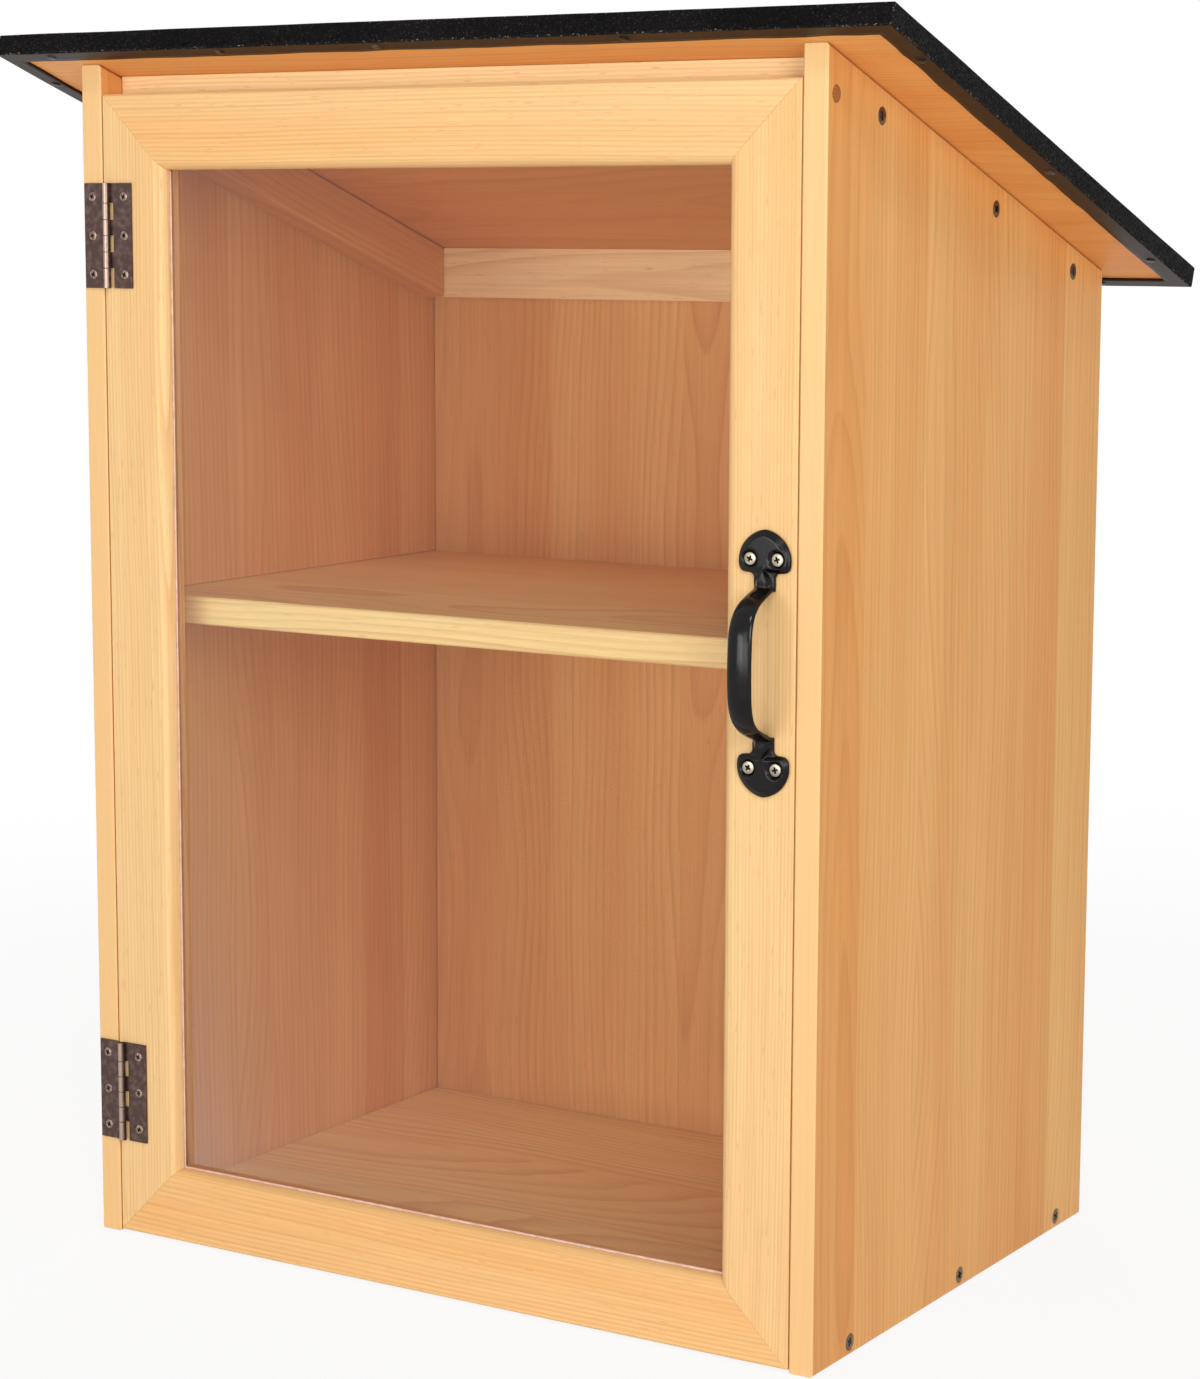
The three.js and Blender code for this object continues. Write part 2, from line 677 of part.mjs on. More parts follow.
const handleSeat = new THREE.Matrix4().makeTranslation(handleX, handleBackY, handleHeight);
const upperSpade = spadeSolid().translate([0, 0, spadeFoot]);
const handleBlank = geometryOf(bowSolid().add(upperSpade).add(upperSpade.rotate([0, 180, 0])));
const handle = cutAway(handleBlank.applyMatrix4(handleSeat), handleHoles);
handle.applyMatrix4(handleSeat.clone().invert());
addPiece(door, 'pull_handle', handle, blackEnamel).applyMatrix4(handleSeat);
handleSeats.forEach((seat, i) => addScrew(door, `handle_screw_${i + 1}`, handleScrew, seat));

// Magnetic catch and the strike plate on the back of the latch stile
const magnetBackY = magnetFrontY + magnetDepth;
const catchCase = board(
  [catchX - catchWidth / 2, catchFrontY, catchZ - catchLength / 2],
  [catchX + catchWidth / 2, catchFrontY + catchDepth, catchZ + catchLength / 2],
);
const magnetPocket = block(
  [catchX - magnetWidth / 2 - seatGap, catchFrontY - cutOverrun, catchZ - magnetLength / 2 - seatGap],
  [catchX + magnetWidth / 2 + seatGap, magnetBackY + seatGap, catchZ + magnetLength / 2 + seatGap],
);
addPiece(cabinet, 'catch_case', cutAway(catchCase, [magnetPocket]), catchPlastic);
addPiece(cabinet, 'catch_magnet', board(
  [catchX - magnetWidth / 2, magnetFrontY, catchZ - magnetLength / 2],
  [catchX + magnetWidth / 2, magnetBackY, catchZ + magnetLength / 2],
  magnetProud,
), nickel);
const strikeBackY = doorBackY + seatGap;
const strikeEdge = strikeThickness / 4;
addPiece(door, 'catch_strike_plate', board(
  [catchX - strikeWidth / 2, strikeBackY, catchZ - strikeLength / 2],
  [catchX + strikeWidth / 2, strikeBackY + strikeThickness, catchZ + strikeLength / 2],
  strikeEdge,
), nickel);

export default bookBox;
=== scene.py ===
"""Street book exchange box: finishes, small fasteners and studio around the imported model."""
import math
from functools import partial

import bmesh
import bpy
from mathutils import Matrix, Vector, geometry, noise


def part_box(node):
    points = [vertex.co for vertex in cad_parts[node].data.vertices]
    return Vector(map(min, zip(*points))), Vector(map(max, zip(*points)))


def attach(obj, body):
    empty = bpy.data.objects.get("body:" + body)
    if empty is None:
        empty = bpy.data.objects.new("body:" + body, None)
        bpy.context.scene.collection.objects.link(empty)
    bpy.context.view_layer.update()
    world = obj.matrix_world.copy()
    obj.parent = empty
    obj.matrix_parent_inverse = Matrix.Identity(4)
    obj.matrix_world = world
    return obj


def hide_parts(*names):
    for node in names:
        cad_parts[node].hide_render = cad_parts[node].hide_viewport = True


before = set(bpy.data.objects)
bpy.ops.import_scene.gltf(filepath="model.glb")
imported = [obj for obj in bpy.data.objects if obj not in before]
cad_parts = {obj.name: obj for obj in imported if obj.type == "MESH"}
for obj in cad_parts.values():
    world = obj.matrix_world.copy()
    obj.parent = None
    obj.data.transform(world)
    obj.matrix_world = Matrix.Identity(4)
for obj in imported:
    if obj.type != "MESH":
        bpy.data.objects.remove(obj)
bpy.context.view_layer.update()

bl_info = {
    "name": "Street book exchange box",
    "version": (1, 0, 0),
    "blender": (4, 5, 0),
    "location": "3D View > Sidebar > Book box",
    "description": "Dresses the packed book exchange box in lacquered pine, felt and ironmongery",
    "category": "Object",
}

MM = 0.001
TOUCH = 0.001 * MM  # heights that differ by less are the same
CORNER = 1.0  # radians between two faces, past which their edge is a corner
# The pale border that this leaves in sight is partly painted glow of the sheet's edges
FILM_SHOWN = 1.0 * MM  # width of torn film inside the sight edge
MITRE_DRAW = 0.15 * MM  # leaves each mitre a hair's breadth open
CUT_WAVER = 1.5 * MM  # how far the felt's knife cut runs off its line
FELT_DIP = 0.35 * MM  # how deep the felt's slack places are
CASTING_DETAIL = 0.26 * MM  # shows the handle's small steps with fewer than 200,000 triangles

# The handle in mm, from the photograph
SPADE_FOOT = 40.0  # from the casting's middle to the ears
SPADE_HEIGHT = 19.0
SPADE_HALF_WIDTH = 13.0
NECK_HALF_WIDTH = 5.3
NECK_LENGTH = 8.0
SINK_FLOOR = 1.65  # how far off the plate a countersink narrows to its screw's cone
STRAP_REACH = 22.4  # how far the middle of the strap stands off the plate
STRAP_HALF_LENGTH = 32.2
STRAP_HALF_WIDTH = 6.0
STRAP_NARROWING = 1.25  # what each side of the strap loses on its way to the neck
STRAP_HALF_THICKNESS = 2.1

# The photograph's camera, fitted to the cabinet's corners in it: angles in degrees, place in metres
FOCAL_PX = 3252.0
PHOTO_HEIGHT_PX = 1379
YAW, PITCH, ROLL = 32.0834, 8.0769, 0.1756
CAMERA_PLACE = (0.86468, -1.37657, 0.50736)
FLOOR_WHITENING = 0.88  # how far metal and the camera see the floor lifted towards white


def linear(code):
    """An sRGB hex colour as linear red, green and blue."""
    shares = [int(code[i:i + 2], 16) / 255 for i in (1, 3, 5)]
    return [s / 12.92 if s <= 0.04045 else ((s + 0.055) / 1.055) ** 2.4 for s in shares]


def rgba(colour):
    return (*colour, 1.0)


# Settings


def colour_setting(name, description, code):
    return bpy.props.FloatVectorProperty(
        name=name, description=description, default=linear(code),
        size=3, subtype="COLOR", min=0, max=1,
    )


def length_setting(name, description, millimetres):
    return bpy.props.FloatProperty(
        name=name, description=description, default=millimetres * MM,
        min=0, precision=5, subtype="DISTANCE", unit="LENGTH",
    )


def share_setting(name, description, value):
    return bpy.props.FloatProperty(
        name=name, description=description, default=value, min=0, max=1, subtype="FACTOR",
    )


def power_setting(name, description, watts):
    return bpy.props.FloatProperty(
        name=name, description=description, default=watts, min=0, subtype="POWER", unit="POWER",
    )


class BookBoxPine(bpy.types.PropertyGroup):
    pale: colour_setting("Earlywood", "Pale, wide part of each growth ring", "#E9C48C")
    dark: colour_setting("Latewood", "Dark, narrow part of each growth ring", "#D0823A")
    ruddy: colour_setting("Ruddy streak", "Warmer heartwood streaks along the grain", "#EBAC66")
    broad: colour_setting("Broad board", "Earlywood of the wide boards, which took more stain", "#F2BD77")
    broad_ruddy: colour_setting("Broad ruddy streak", "Heartwood streaks of the wide boards", "#E6A059")
    # Paler than the other pine: painted light, which makes up for the shade in the rebates behind the pane
    bead: colour_setting("Bead", "Redder wood of the glazing beads", "#FFDBB0")
    plug: colour_setting("Plug", "Brown end grain of the plug in the right-hand side", "#B06A30")
    ring_gap: length_setting("Ring gap", "Width of one growth ring", 3.3)
    sheen: share_setting("Lacquer roughness", "Roughness of the satin lacquer", 0.26)


class BookBoxRoof(bpy.types.PropertyGroup):
    felt: colour_setting("Felt", "Bitumen between the mineral grit", "#060505")
    grit: colour_setting("Grit", "Palest grains of the mineral grit", "#2E2A28")
    # Pale along the rounded edges: partly grit worn bare, partly a painted highlight
    rubbed: colour_setting("Rubbed grit", "Grains laid bare along the folded edges", "#7C736C")
    # The brown of the felt's back is painted warm bounce light from the wood
    back: colour_setting("Felt fold", "Smooth back of the felt under the eaves", "#301C0E")
    grit_size: length_setting("Grit size", "Distance between grains", 0.6)
    nail_head: length_setting("Nail head", "Diameter of a clout nail's head", 5)
    nail_rise: length_setting("Nail rise", "Height of a clout nail's head", 0.8)


class BookBoxMetal(bpy.types.PropertyGroup):
    bronze: colour_setting("Bronze", "Antique bronze plating of the hinges", "#53403C")
    # On the fronts of the barrels this pale colour is also a painted highlight
    rubbed: colour_setting("Rubbed bronze", "Plating rubbed pale on knuckles and edges", "#C4AA98")
    enamel: colour_setting("Enamel", "Black stoved enamel of the handle", "#080505")
    nickel: colour_setting("Nickel", "Plating of the handle screws", "#9A9080")
    screw: colour_setting("Brown screw", "Bronzed steel of the cabinet screws", "#6B5340")
    plastic: colour_setting("Catch", "Moulded body of the magnetic catch", "#EFEBE0")


class BookBoxStage(bpy.types.PropertyGroup):
    floor: colour_setting("Floor", "Plain pale floor", "#F4F3F1")
    sky: bpy.props.FloatProperty(
        name="Sky", description="Strength of the even light from all round", default=0.26, min=0,
    )
    key: power_setting("Key lamp", "Soft box in front of the door", 6.5)
    low: power_setting("Low lamp", "Soft box near the ground in front, for the eaves", 5)
    top: power_setting("Top lamp", "Small box above the camera, for glints on the metal", 8)
    fill: power_setting("Fill lamp", "Soft box on the right-hand side", 30.5)
    side: power_setting("Side lamp", "Soft box in front on the left, which the bow handle mirrors", 8.5)
    rear: power_setting("Rear lamp", "Soft box behind, for the back and the left-hand side", 36)


# Materials


def add_node(tree, kind, inputs=None, stops=None, **settings):
    """A shader node with its settings. An input is a value, or the node or socket it comes from.

    stops are the places and colours along a colour ramp, which has two of them from the start.
    """
    node = tree.nodes.new("ShaderNode" + kind)
    for name, value in settings.items():
        setattr(node, name, value)
    for i, (place, colour) in enumerate(stops or []):
        elements = node.color_ramp.elements
        element = elements[i] if i < 2 else elements.new(place)
        element.position, element.color = place, colour
    for key, value in (inputs or {}).items():
        if isinstance(value, bpy.types.Node):
            value = value.outputs[0]
        if isinstance(value, bpy.types.NodeSocket):
            tree.links.new(value, node.inputs[key])
        else:
            node.inputs[key].default_value = value
    return node


def new_material(name):
    """A material, the function that adds nodes to it, and its Object coordinates."""
    material = bpy.data.materials.new(name)
    material.use_nodes = True
    material.node_tree.nodes.clear()
    add = partial(add_node, material.node_tree)
    return material, add, add("TexCoord").outputs["Object"]


def grey(level):
    return (level, level, level, 1.0)


def grain_noise(add, point, waves, detail=3.0, roughness=0.5):
    """Noise drawn out along the grain. waves are its waves to the metre across, through and along."""
    stretched = add("VectorMath", {0: point, 1: waves}, operation="MULTIPLY")
    settings = {"Vector": stretched, "Scale": 1.0, "Detail": detail, "Roughness": roughness}
    return add("TexNoise", settings)


def stave_log(add, across, span, face, staves):
    """The log that the stave at a point was sawn from: its pith, a seed of its own and its ruddiness.

    A colour ramp lists the staves. Red holds the pith's place across, from -200 to 600 mm, green its
    depth behind the face, down to 400 mm, and blue the ruddiness. The pith comes out in metres.
    """
    starts = [0.0] + [end for end, *_ in staves[:-1]]
    rows = [((place + 200) / 800, depth / 400, ruddy, 1.0) for _, place, depth, ruddy in staves]
    share = add("MapRange", {0: across, 1: span[0], 2: span[1]})
    table = add("ValToRGB", {0: share}, stops=list(zip(starts, rows)))
    table.color_ramp.interpolation = "CONSTANT"
    if len(rows) == 1:
        table.color_ramp.elements[1].color = rows[0]
    place, depth, ruddiness = add("SeparateColor", {0: table}).outputs
    seed = add("Math", {0: place, 1: 37.0}, operation="MULTIPLY")
    pith = (
        add("Math", {0: place, 1: 0.8, 2: span[0] - 0.2}, operation="MULTIPLY_ADD"),
        add("Math", {0: depth, 1: -0.4, 2: face}, operation="MULTIPLY_ADD"),
    )
    return pith, seed, ruddiness


def growth_rings(add, point, axes, pith, seed, growth, swing):
    """How far into the latewood a point is: from near 0 in pale wood to 1 where its ring ends.

    axes are the point's place across the staves and through the board, and pith is the middle of the
    rings along them.
    """
    settings = bpy.context.scene.book_box_pine
    # The pith wanders within some 450 mm of the log, which bends the rings into arches on a flat-sawn
    # face, and ripples of some 17 by 110 mm keep them from being true circles
    wander = grain_noise(add, point, (7, 7, 2.2), detail=2.0, roughness=0.45)
    bend = add("SeparateColor", {0: wander.outputs["Color"]}).outputs
    offsets = []
    for axis, middle, drift, amount in zip(axes, pith, bend, (0.030 * swing, 0.060 * swing)):
        away = add("Math", {0: axis, 1: middle}, operation="SUBTRACT")
        offsets.append(add("Math", {0: drift, 1: amount, 2: away}, operation="MULTIPLY_ADD"))
    radial = add("CombineXYZ", {0: offsets[0], 1: offsets[1]})
    radius = add("VectorMath", {0: radial}, operation="LENGTH").outputs["Value"]
    ripple = grain_noise(add, point, (60, 60, 9))
    uneven = 1.4 * growth * MM
    radius = add("Math", {0: ripple, 1: uneven, 2: radius}, operation="MULTIPLY_ADD")

    # A ring darkens slowly and ends at once, and a good year leaves it darker
    gap = growth * settings.ring_gap
    turns = add("Math", {0: radius, 1: gap}, operation="DIVIDE")
    year = add("Math", {0: turns}, operation="FLOOR")
    season = add("Math", {0: turns}, operation="FRACT")
    luck = add("Math", {0: year, 1: seed}, operation="ADD")
    vigour = add("TexWhiteNoise", {"W": luck}, noise_dimensions="1D").outputs["Value"]
    late = add("ValToRGB", {0: season}, stops=[
        (0.0, grey(0.05)), (0.45, grey(0.1)), (0.8, grey(0.7)), (0.93, grey(1.0)), (1.0, grey(0.1)),
    ])
    strength = add("MapRange", {0: vigour, 3: 0.4, 4: 1.0})
    return add("Math", {0: late, 1: strength}, operation="MULTIPLY")


def pine(name, grain, span, face, staves, tilt=0.0, growth=1.0, swing=1.0, pale=None, ruddy=None,
         edge=None):
    """Satin lacquered pine, sawn from logs: the growth rings are cylinders round each log's pith.

    grain names the axes across the staves, through the board and along the grain. span is where the
    board starts and ends across the staves, and face where its show side is. Each stave is the share
    of the span where it ends, its pith's place across and depth behind the face in mm, and how ruddy.
    growth is the width of its rings, and swing the pith's wander, as shares of the common ones. pale
    and ruddy stand in for the common colours, and edge is where a planed front edge ends.
    """
    settings = bpy.context.scene.book_box_pine
    material, add, place = new_material(name)
    if tilt:
        place = add("Mapping", {"Vector": place, "Rotation": (tilt, 0, 0)})
    split = add("SeparateXYZ", {0: place})
    across, through, along = (split.outputs[axis] for axis in grain)
    # Places through a board are taken without their sign, so the cabinet's sides are mirror images
    through = add("Math", {0: through}, operation="ABSOLUTE")
    pith, seed, ruddiness = stave_log(add, across, span, face, staves)
    shifted = add("Math", {0: along, 1: seed}, operation="ADD")
    point = add("CombineXYZ", {0: across, 1: through, 2: shifted})
    late = growth_rings(add, point, (across, through), pith, seed, growth, swing)

    # Streaks some 36 mm broad and 600 mm long, fibres of 1.1 by 70 mm, drawn coarser than real ones so
    # that they show, and dark resin ducts of 0.7 by 9 mm
    streak = grain_noise(add, point, (28, 28, 1.6))
    warm = add("MapRange", {0: streak, 1: 0.35, 2: 0.7, 3: -0.25, 4: 0.35})
    warm = add("Math", {0: warm, 1: ruddiness}, operation="ADD", use_clamp=True)
    fibre = grain_noise(add, point, (900, 900, 14))
    duct = grain_noise(add, point, (1500, 1500, 110), detail=0.0)
    duct = add("MapRange", {0: duct, 1: 0.7, 2: 0.8, 3: 0.0, 4: 0.35})

    woods = {"A": rgba(pale or settings.pale), "B": rgba(ruddy or settings.ruddy)}
    colour = add("Mix", {0: warm, **woods}, data_type="RGBA").outputs["Result"]
    amount = add("Math", {0: late, 1: 0.42}, operation="MULTIPLY")
    amount = add("Math", {0: amount, 1: duct}, operation="MAXIMUM")
    latewood = {0: amount, "A": colour, "B": rgba(settings.dark)}
    colour = add("Mix", latewood, data_type="RGBA").outputs["Result"]
    level = add("MapRange", {0: fibre, 1: 0.3, 2: 0.7, 3: 0.93, 4: 1.05})
    colour = add("VectorMath", {0: colour, "Scale": level}, operation="SCALE")
    if edge is not None:
        # The front edge and its chamfer are paler than the wide face
        narrow = add("Math", {0: across, 1: edge}, operation="LESS_THAN")
        paler_edge = {0: 0.75, "A": colour, "B": rgba(settings.pale)}
        lighter = add("Mix", paler_edge, data_type="RGBA").outputs["Result"]
        colour = add("Mix", {0: narrow, "A": colour, "B": lighter}, data_type="RGBA").outputs["Result"]

    relief = add("Math", {0: late, 1: 0.5, 2: fibre}, operation="MULTIPLY_ADD")
    bump = add("Bump", {"Height": relief, "Strength": 0.25, "Distance": 0.08 * MM})
    roughness = add("MapRange", {0: fibre, 3: 0.42, 4: 0.58})
    shader = add("BsdfPrincipled", {
        "Base Color": colour, "Roughness": roughness, "Specular IOR Level": 0.16, "Normal": bump,
        "Coat Weight": 0.06, "Coat Roughness": settings.sheen, "Coat IOR": 1.5,
    })
    add("OutputMaterial", {0: shader})
    return material


def granular_felt(name, middle, palest):
    """Bitumen roofing felt rolled in mineral grit: near black, dull, with a few grains that glint."""
    settings = bpy.context.scene.book_box_roof
    material, add, place = new_material(name)
    grains = add("TexVoronoi", {"Vector": place, "Scale": 1 / settings.grit_size})
    grain = add("SeparateColor", {0: grains.outputs["Color"]})
    shade = add("ValToRGB", {0: grain}, stops=[
        (0.0, rgba(settings.felt)), (0.6, rgba(middle)), (0.9, rgba(middle)), (1.0, rgba(palest)),
    ])
    # Cloudy patches some 45 mm wide, where the grit lies thin or thick
    patches = add("TexNoise", {"Vector": place, "Scale": 22.0, "Detail": 3.0})
    level = add("MapRange", {0: patches, 1: 0.25, 2: 0.75, 3: 0.35, 4: 1.6})
    colour = add("VectorMath", {0: shade, "Scale": level}, operation="SCALE")
    roughness = add("MapRange", {0: grain.outputs[1], 3: 0.5, 4: 0.95})
    lumps = add("Math", {0: 1.0, 1: grains.outputs["Distance"]}, operation="SUBTRACT")
    bump = add("Bump", {
        "Height": lumps, "Strength": 0.7, "Distance": settings.grit_size / 3,
    })
    shader = add("BsdfPrincipled", {
        "Base Color": colour, "Roughness": roughness, "Specular IOR Level": 0.07, "Normal": bump,
    })
    add("OutputMaterial", {0: shader})
    return material


def felt_back_warm_bounce():
    """The smooth back of the felt, folded under the board, with a bituminous sheen. Its brown is painted
    warm bounce light from the wood.
    """
    settings = bpy.context.scene.book_box_roof
    material, add, place = new_material("felt_back_warm_bounce")
    fibre = add("TexNoise", {"Vector": place, "Scale": 420.0, "Detail": 3.0})
    colour = add("ValToRGB", {0: fibre}, stops=[
        (0.3, rgba(linear("#1B1009"))), (0.75, rgba(settings.back)),
    ])
    bump = add("Bump", {"Height": fibre, "Strength": 0.2, "Distance": 0.2 * MM})
    shader = add("BsdfPrincipled", {
        "Base Color": colour, "Roughness": 0.45, "Specular IOR Level": 0.2, "Normal": bump,
    })
    add("OutputMaterial", {0: shader})
    return material


def plated(name, base, worn, wear, roughness, metallic, mottle=160.0, front_wear_and_highlight=None):
    """Plated steel, mottled by its bath: the plating is rubbed paler where the noise runs high.

    mottle is the number of its mottles to the metre. The last argument, a pair of places along Y, makes
    the plating pale from the first to the second: partly wear, partly a painted highlight on the front.
    """
    material, add, place = new_material(name)
    cloud = add("TexNoise", {"Vector": place, "Scale": mottle, "Detail": 4.0})
    rubbed = add("MapRange", {0: cloud, 1: 0.45, 2: 0.75, 3: 0.0, 4: wear})
    if front_wear_and_highlight:
        depth = add("SeparateXYZ", {0: place}).outputs["Y"]
        front_band = add("MapRange", {0: depth, 1: front_wear_and_highlight[0], 2: front_wear_and_highlight[1]})
        rubbed = add("Math", {0: rubbed, 1: front_band}, operation="MAXIMUM")
    plating = {0: rubbed, "A": rgba(base), "B": rgba(worn)}
    colour = add("Mix", plating, data_type="RGBA").outputs["Result"]
    scatter = add("MapRange", {0: cloud, 3: roughness - 0.08, 4: roughness + 0.1})
    grain = add("TexNoise", {"Vector": place, "Scale": 1800.0, "Detail": 2.0})
    bump = add("Bump", {"Height": grain, "Strength": 0.2, "Distance": 0.05 * MM})
    shader = add("BsdfPrincipled", {
        "Base Color": colour, "Metallic": metallic, "Roughness": scatter, "Normal": bump,
    })
    add("OutputMaterial", {0: shader})
    return material


def stoved_enamel():
    """Thick stoved black enamel on a casting: glossy, with the faint orange peel of the paint."""
    settings = bpy.context.scene.book_box_metal
    material, add, place = new_material("stoved_black_enamel")
    peel = add("TexNoise", {"Vector": place, "Scale": 380.0, "Detail": 2.0})
    bump = add("Bump", {"Height": peel, "Strength": 0.06, "Distance": 0.25 * MM})
    colour = add("ValToRGB", {0: peel}, stops=[
        (0.3, rgba(settings.enamel)), (0.8, rgba(linear("#0F0B0A"))),
    ])
    scatter = add("MapRange", {0: peel, 3: 0.14, 4: 0.2})
    shader = add("BsdfPrincipled", {
        "Base Color": colour, "Roughness": scatter, "Specular IOR Level": 0.22, "Normal": bump,
    })
    add("OutputMaterial", {0: shader})
    return material


def clear_acrylic():
    """Clear cast acrylic sheet, so thin that it only shows by what its faces mirror."""
    material, add, place = new_material("clear_acrylic_sheet")
    dust = add("TexNoise", {"Vector": place, "Scale": 300.0, "Detail": 2.0})
    scatter = add("MapRange", {0: dust, 3: 0.01, 4: 0.05})
    through = add("BsdfTransparent", {0: rgba((0.985, 0.98, 0.98))})
    mirror = add("BsdfGlossy", {"Roughness": scatter})
    angle = add("Fresnel", {"IOR": 1.49})
    amount = add("Math", {0: angle, 1: 0.4}, operation="MULTIPLY")
    mixed = add("MixShader", {0: amount, 1: through, 2: mirror})
    add("OutputMaterial", {0: mixed})
    return material


def film_border_glow():
    """A milky, slightly pink border: partly the sheet's protective film left under the beads, partly
    painted glow of the sheet's edges.
    """
    material, add, place = new_material("film_and_edge_glow")
    crease = add("TexNoise", {"Vector": place, "Scale": 240.0, "Detail": 2.0})
    colour = add("ValToRGB", {0: crease}, stops=[
        (0.35, rgba(linear("#DDB09A"))), (0.7, rgba(linear("#EBCDBD"))),
    ])
    shader = add("BsdfPrincipled", {"Base Color": colour, "Roughness": 0.35})
    add("OutputMaterial", {0: shader})
    return material


def end_grain_plug():
    """A plug cut across the grain: brown, with its own small rings and open pores."""
    settings = bpy.context.scene.book_box_pine
    material, add, place = new_material("brown_plug")
    low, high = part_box("wood_plug")
    # The heart of its rings lies in front of the plug's middle and below it
    heart = (low + high) / 2 - Vector((0, 3 * MM, 5 * MM))
    local = add("VectorMath", {0: place, 1: heart}, operation="SUBTRACT")
    rings = add("TexWave", {
        "Vector": local, "Scale": 180.0, "Distortion": 1.5, "Detail": 2.0,
    }, wave_type="RINGS", rings_direction="X").outputs["Fac"]
    pores = add("TexNoise", {"Vector": place, "Scale": 2200.0})
    mixed = add("Math", {0: rings, 1: 0.4, 2: pores}, operation="MULTIPLY_ADD")
    colour = add("ValToRGB", {0: mixed}, stops=[
        (0.4, rgba(linear("#8A4E24"))), (0.85, rgba(settings.plug)),
    ])
    bump = add("Bump", {"Height": mixed, "Strength": 0.3, "Distance": 0.1 * MM})
    shader = add("BsdfPrincipled", {"Base Color": colour, "Roughness": 0.55, "Normal": bump})
    add("OutputMaterial", {0: shader})
    return material


def moulded_plastic():
    """Moulded ABS: off-white, with the fine eroded texture of its tool."""
    settings = bpy.context.scene.book_box_metal
    material, add, place = new_material("moulded_abs")
    spark = add("TexNoise", {"Vector": place, "Scale": 1500.0, "Detail": 2.0})
    colour = add("ValToRGB", {0: spark}, stops=[
        (0.2, rgba(linear("#E4DFD2"))), (0.8, rgba(settings.plastic)),
    ])
    bump = add("Bump", {"Height": spark, "Strength": 0.3, "Distance": 0.05 * MM})
    shader = add("BsdfPrincipled", {"Base Color": colour, "Roughness": 0.5, "Normal": bump})
    add("OutputMaterial", {0: shader})
    return material


# Modelling helpers


def as_object(name, bm):
    """Turns a bmesh into an object of the scene."""
    mesh = bpy.data.meshes.new(name)
    bm.to_mesh(mesh)
    bm.free()
    thing = bpy.data.objects.new(name, mesh)
    bpy.context.scene.collection.objects.link(thing)
    return thing


def merged_copy(node):
    """A CAD node's mesh with its loose triangles joined into whole faces again."""
    bm = bmesh.new()
    bm.from_mesh(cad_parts[node].data)
    bmesh.ops.remove_doubles(bm, verts=bm.verts, dist=0.002 * MM)
    bmesh.ops.dissolve_limit(bm, angle_limit=math.radians(0.5), verts=bm.verts, edges=bm.edges)
    return bm


def closed_mitres(bm, along):
    """Draws a member's two mitre faces up to its neighbours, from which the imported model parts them."""
    bm.normal_update()
    for way in (-1, 1):
        # A mitre's normal leans at 45 degrees, so its share along the member is about 0.71
        leaning = [face for face in bm.faces if 0.6 < way * face.normal[along] < 0.8]
        end = max(leaning, key=lambda face: face.calc_area())
        step = Vector()
        step[along] = way * MITRE_DRAW
        bmesh.ops.translate(bm, vec=step, verts=end.verts)
    return bm


def add_piece(name, bm, body, materials, replaced=(), smooth_under=40.0, bevel=0.0):
    """Turns a bmesh into a piece that rides on a body. Edges sharper than the angle stay crisp."""
    for edge in bm.edges:
        edge.smooth = edge.calc_face_angle(0.0) < math.radians(smooth_under)
    for face in bm.faces:
        face.smooth = True
    piece = as_object(name, bm)
    for material in materials:
        piece.data.materials.append(material)
    if bevel:
        rounding = piece.modifiers.new("rounded_edges", "BEVEL")
        rounding.width, rounding.segments = bevel, 2
        rounding.limit_method, rounding.angle_limit = "ANGLE", math.radians(smooth_under)
        rounding.use_clamp_overlap = True
    piece.modifiers.new("flat_faces_stay_flat", "WEIGHTED_NORMAL").keep_sharp = True
    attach(piece, body)
    if replaced:
        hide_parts(*replaced)
    return piece


def spun(points, steps=32):
    """A solid turned about Z from its profile, radius and height, from one end to the other."""
    bm = bmesh.new()
    verts = [bm.verts.new((radius, 0, height)) for radius, height in points]
    edges = [bm.edges.new(pair) for pair in zip(verts, verts[1:])]
    bmesh.ops.spin(
        bm, geom=verts + edges, cent=(0, 0, 0), axis=(0, 0, 1), angle=math.tau, steps=steps, use_merge=True,
    )
    bmesh.ops.remove_doubles(bm, verts=bm.verts, dist=0.001 * MM)
    bmesh.ops.recalc_face_normals(bm, faces=bm.faces)
    return bm


def join_into(bm, other, matrix):
    """Adds a copy of another bmesh to this one, placed by a matrix."""
    mesh = bpy.data.meshes.new("part")
    other.to_mesh(mesh)
    mesh.transform(matrix)
    bm.from_mesh(mesh)
    bpy.data.meshes.remove(mesh)


def smooth_path(points, steps):
    """A curve through the points, as short straight steps."""
    path = [points[0]]
    for i in range(len(points) - 1):
        before, start, end = points[max(i - 1, 0)], points[i], points[i + 1]
        after = points[min(i + 2, len(points) - 1)]
        pulls = (start + (end - before) / 6, end - (after - start) / 6)
        path += geometry.interpolate_bezier(start, *pulls, end, steps + 1)[1:]
    return path


def bridge(bm, rings):
    """Joins rings of vertices one after another into a tube, and closes its ends."""
    for first, second in zip(rings, rings[1:]):
        for i, vert in enumerate(first):
            bm.faces.new((first[i - 1], vert, second[i], second[i - 1]))
    for ring in (rings[0], rings[-1]):
        bm.faces.new(ring)


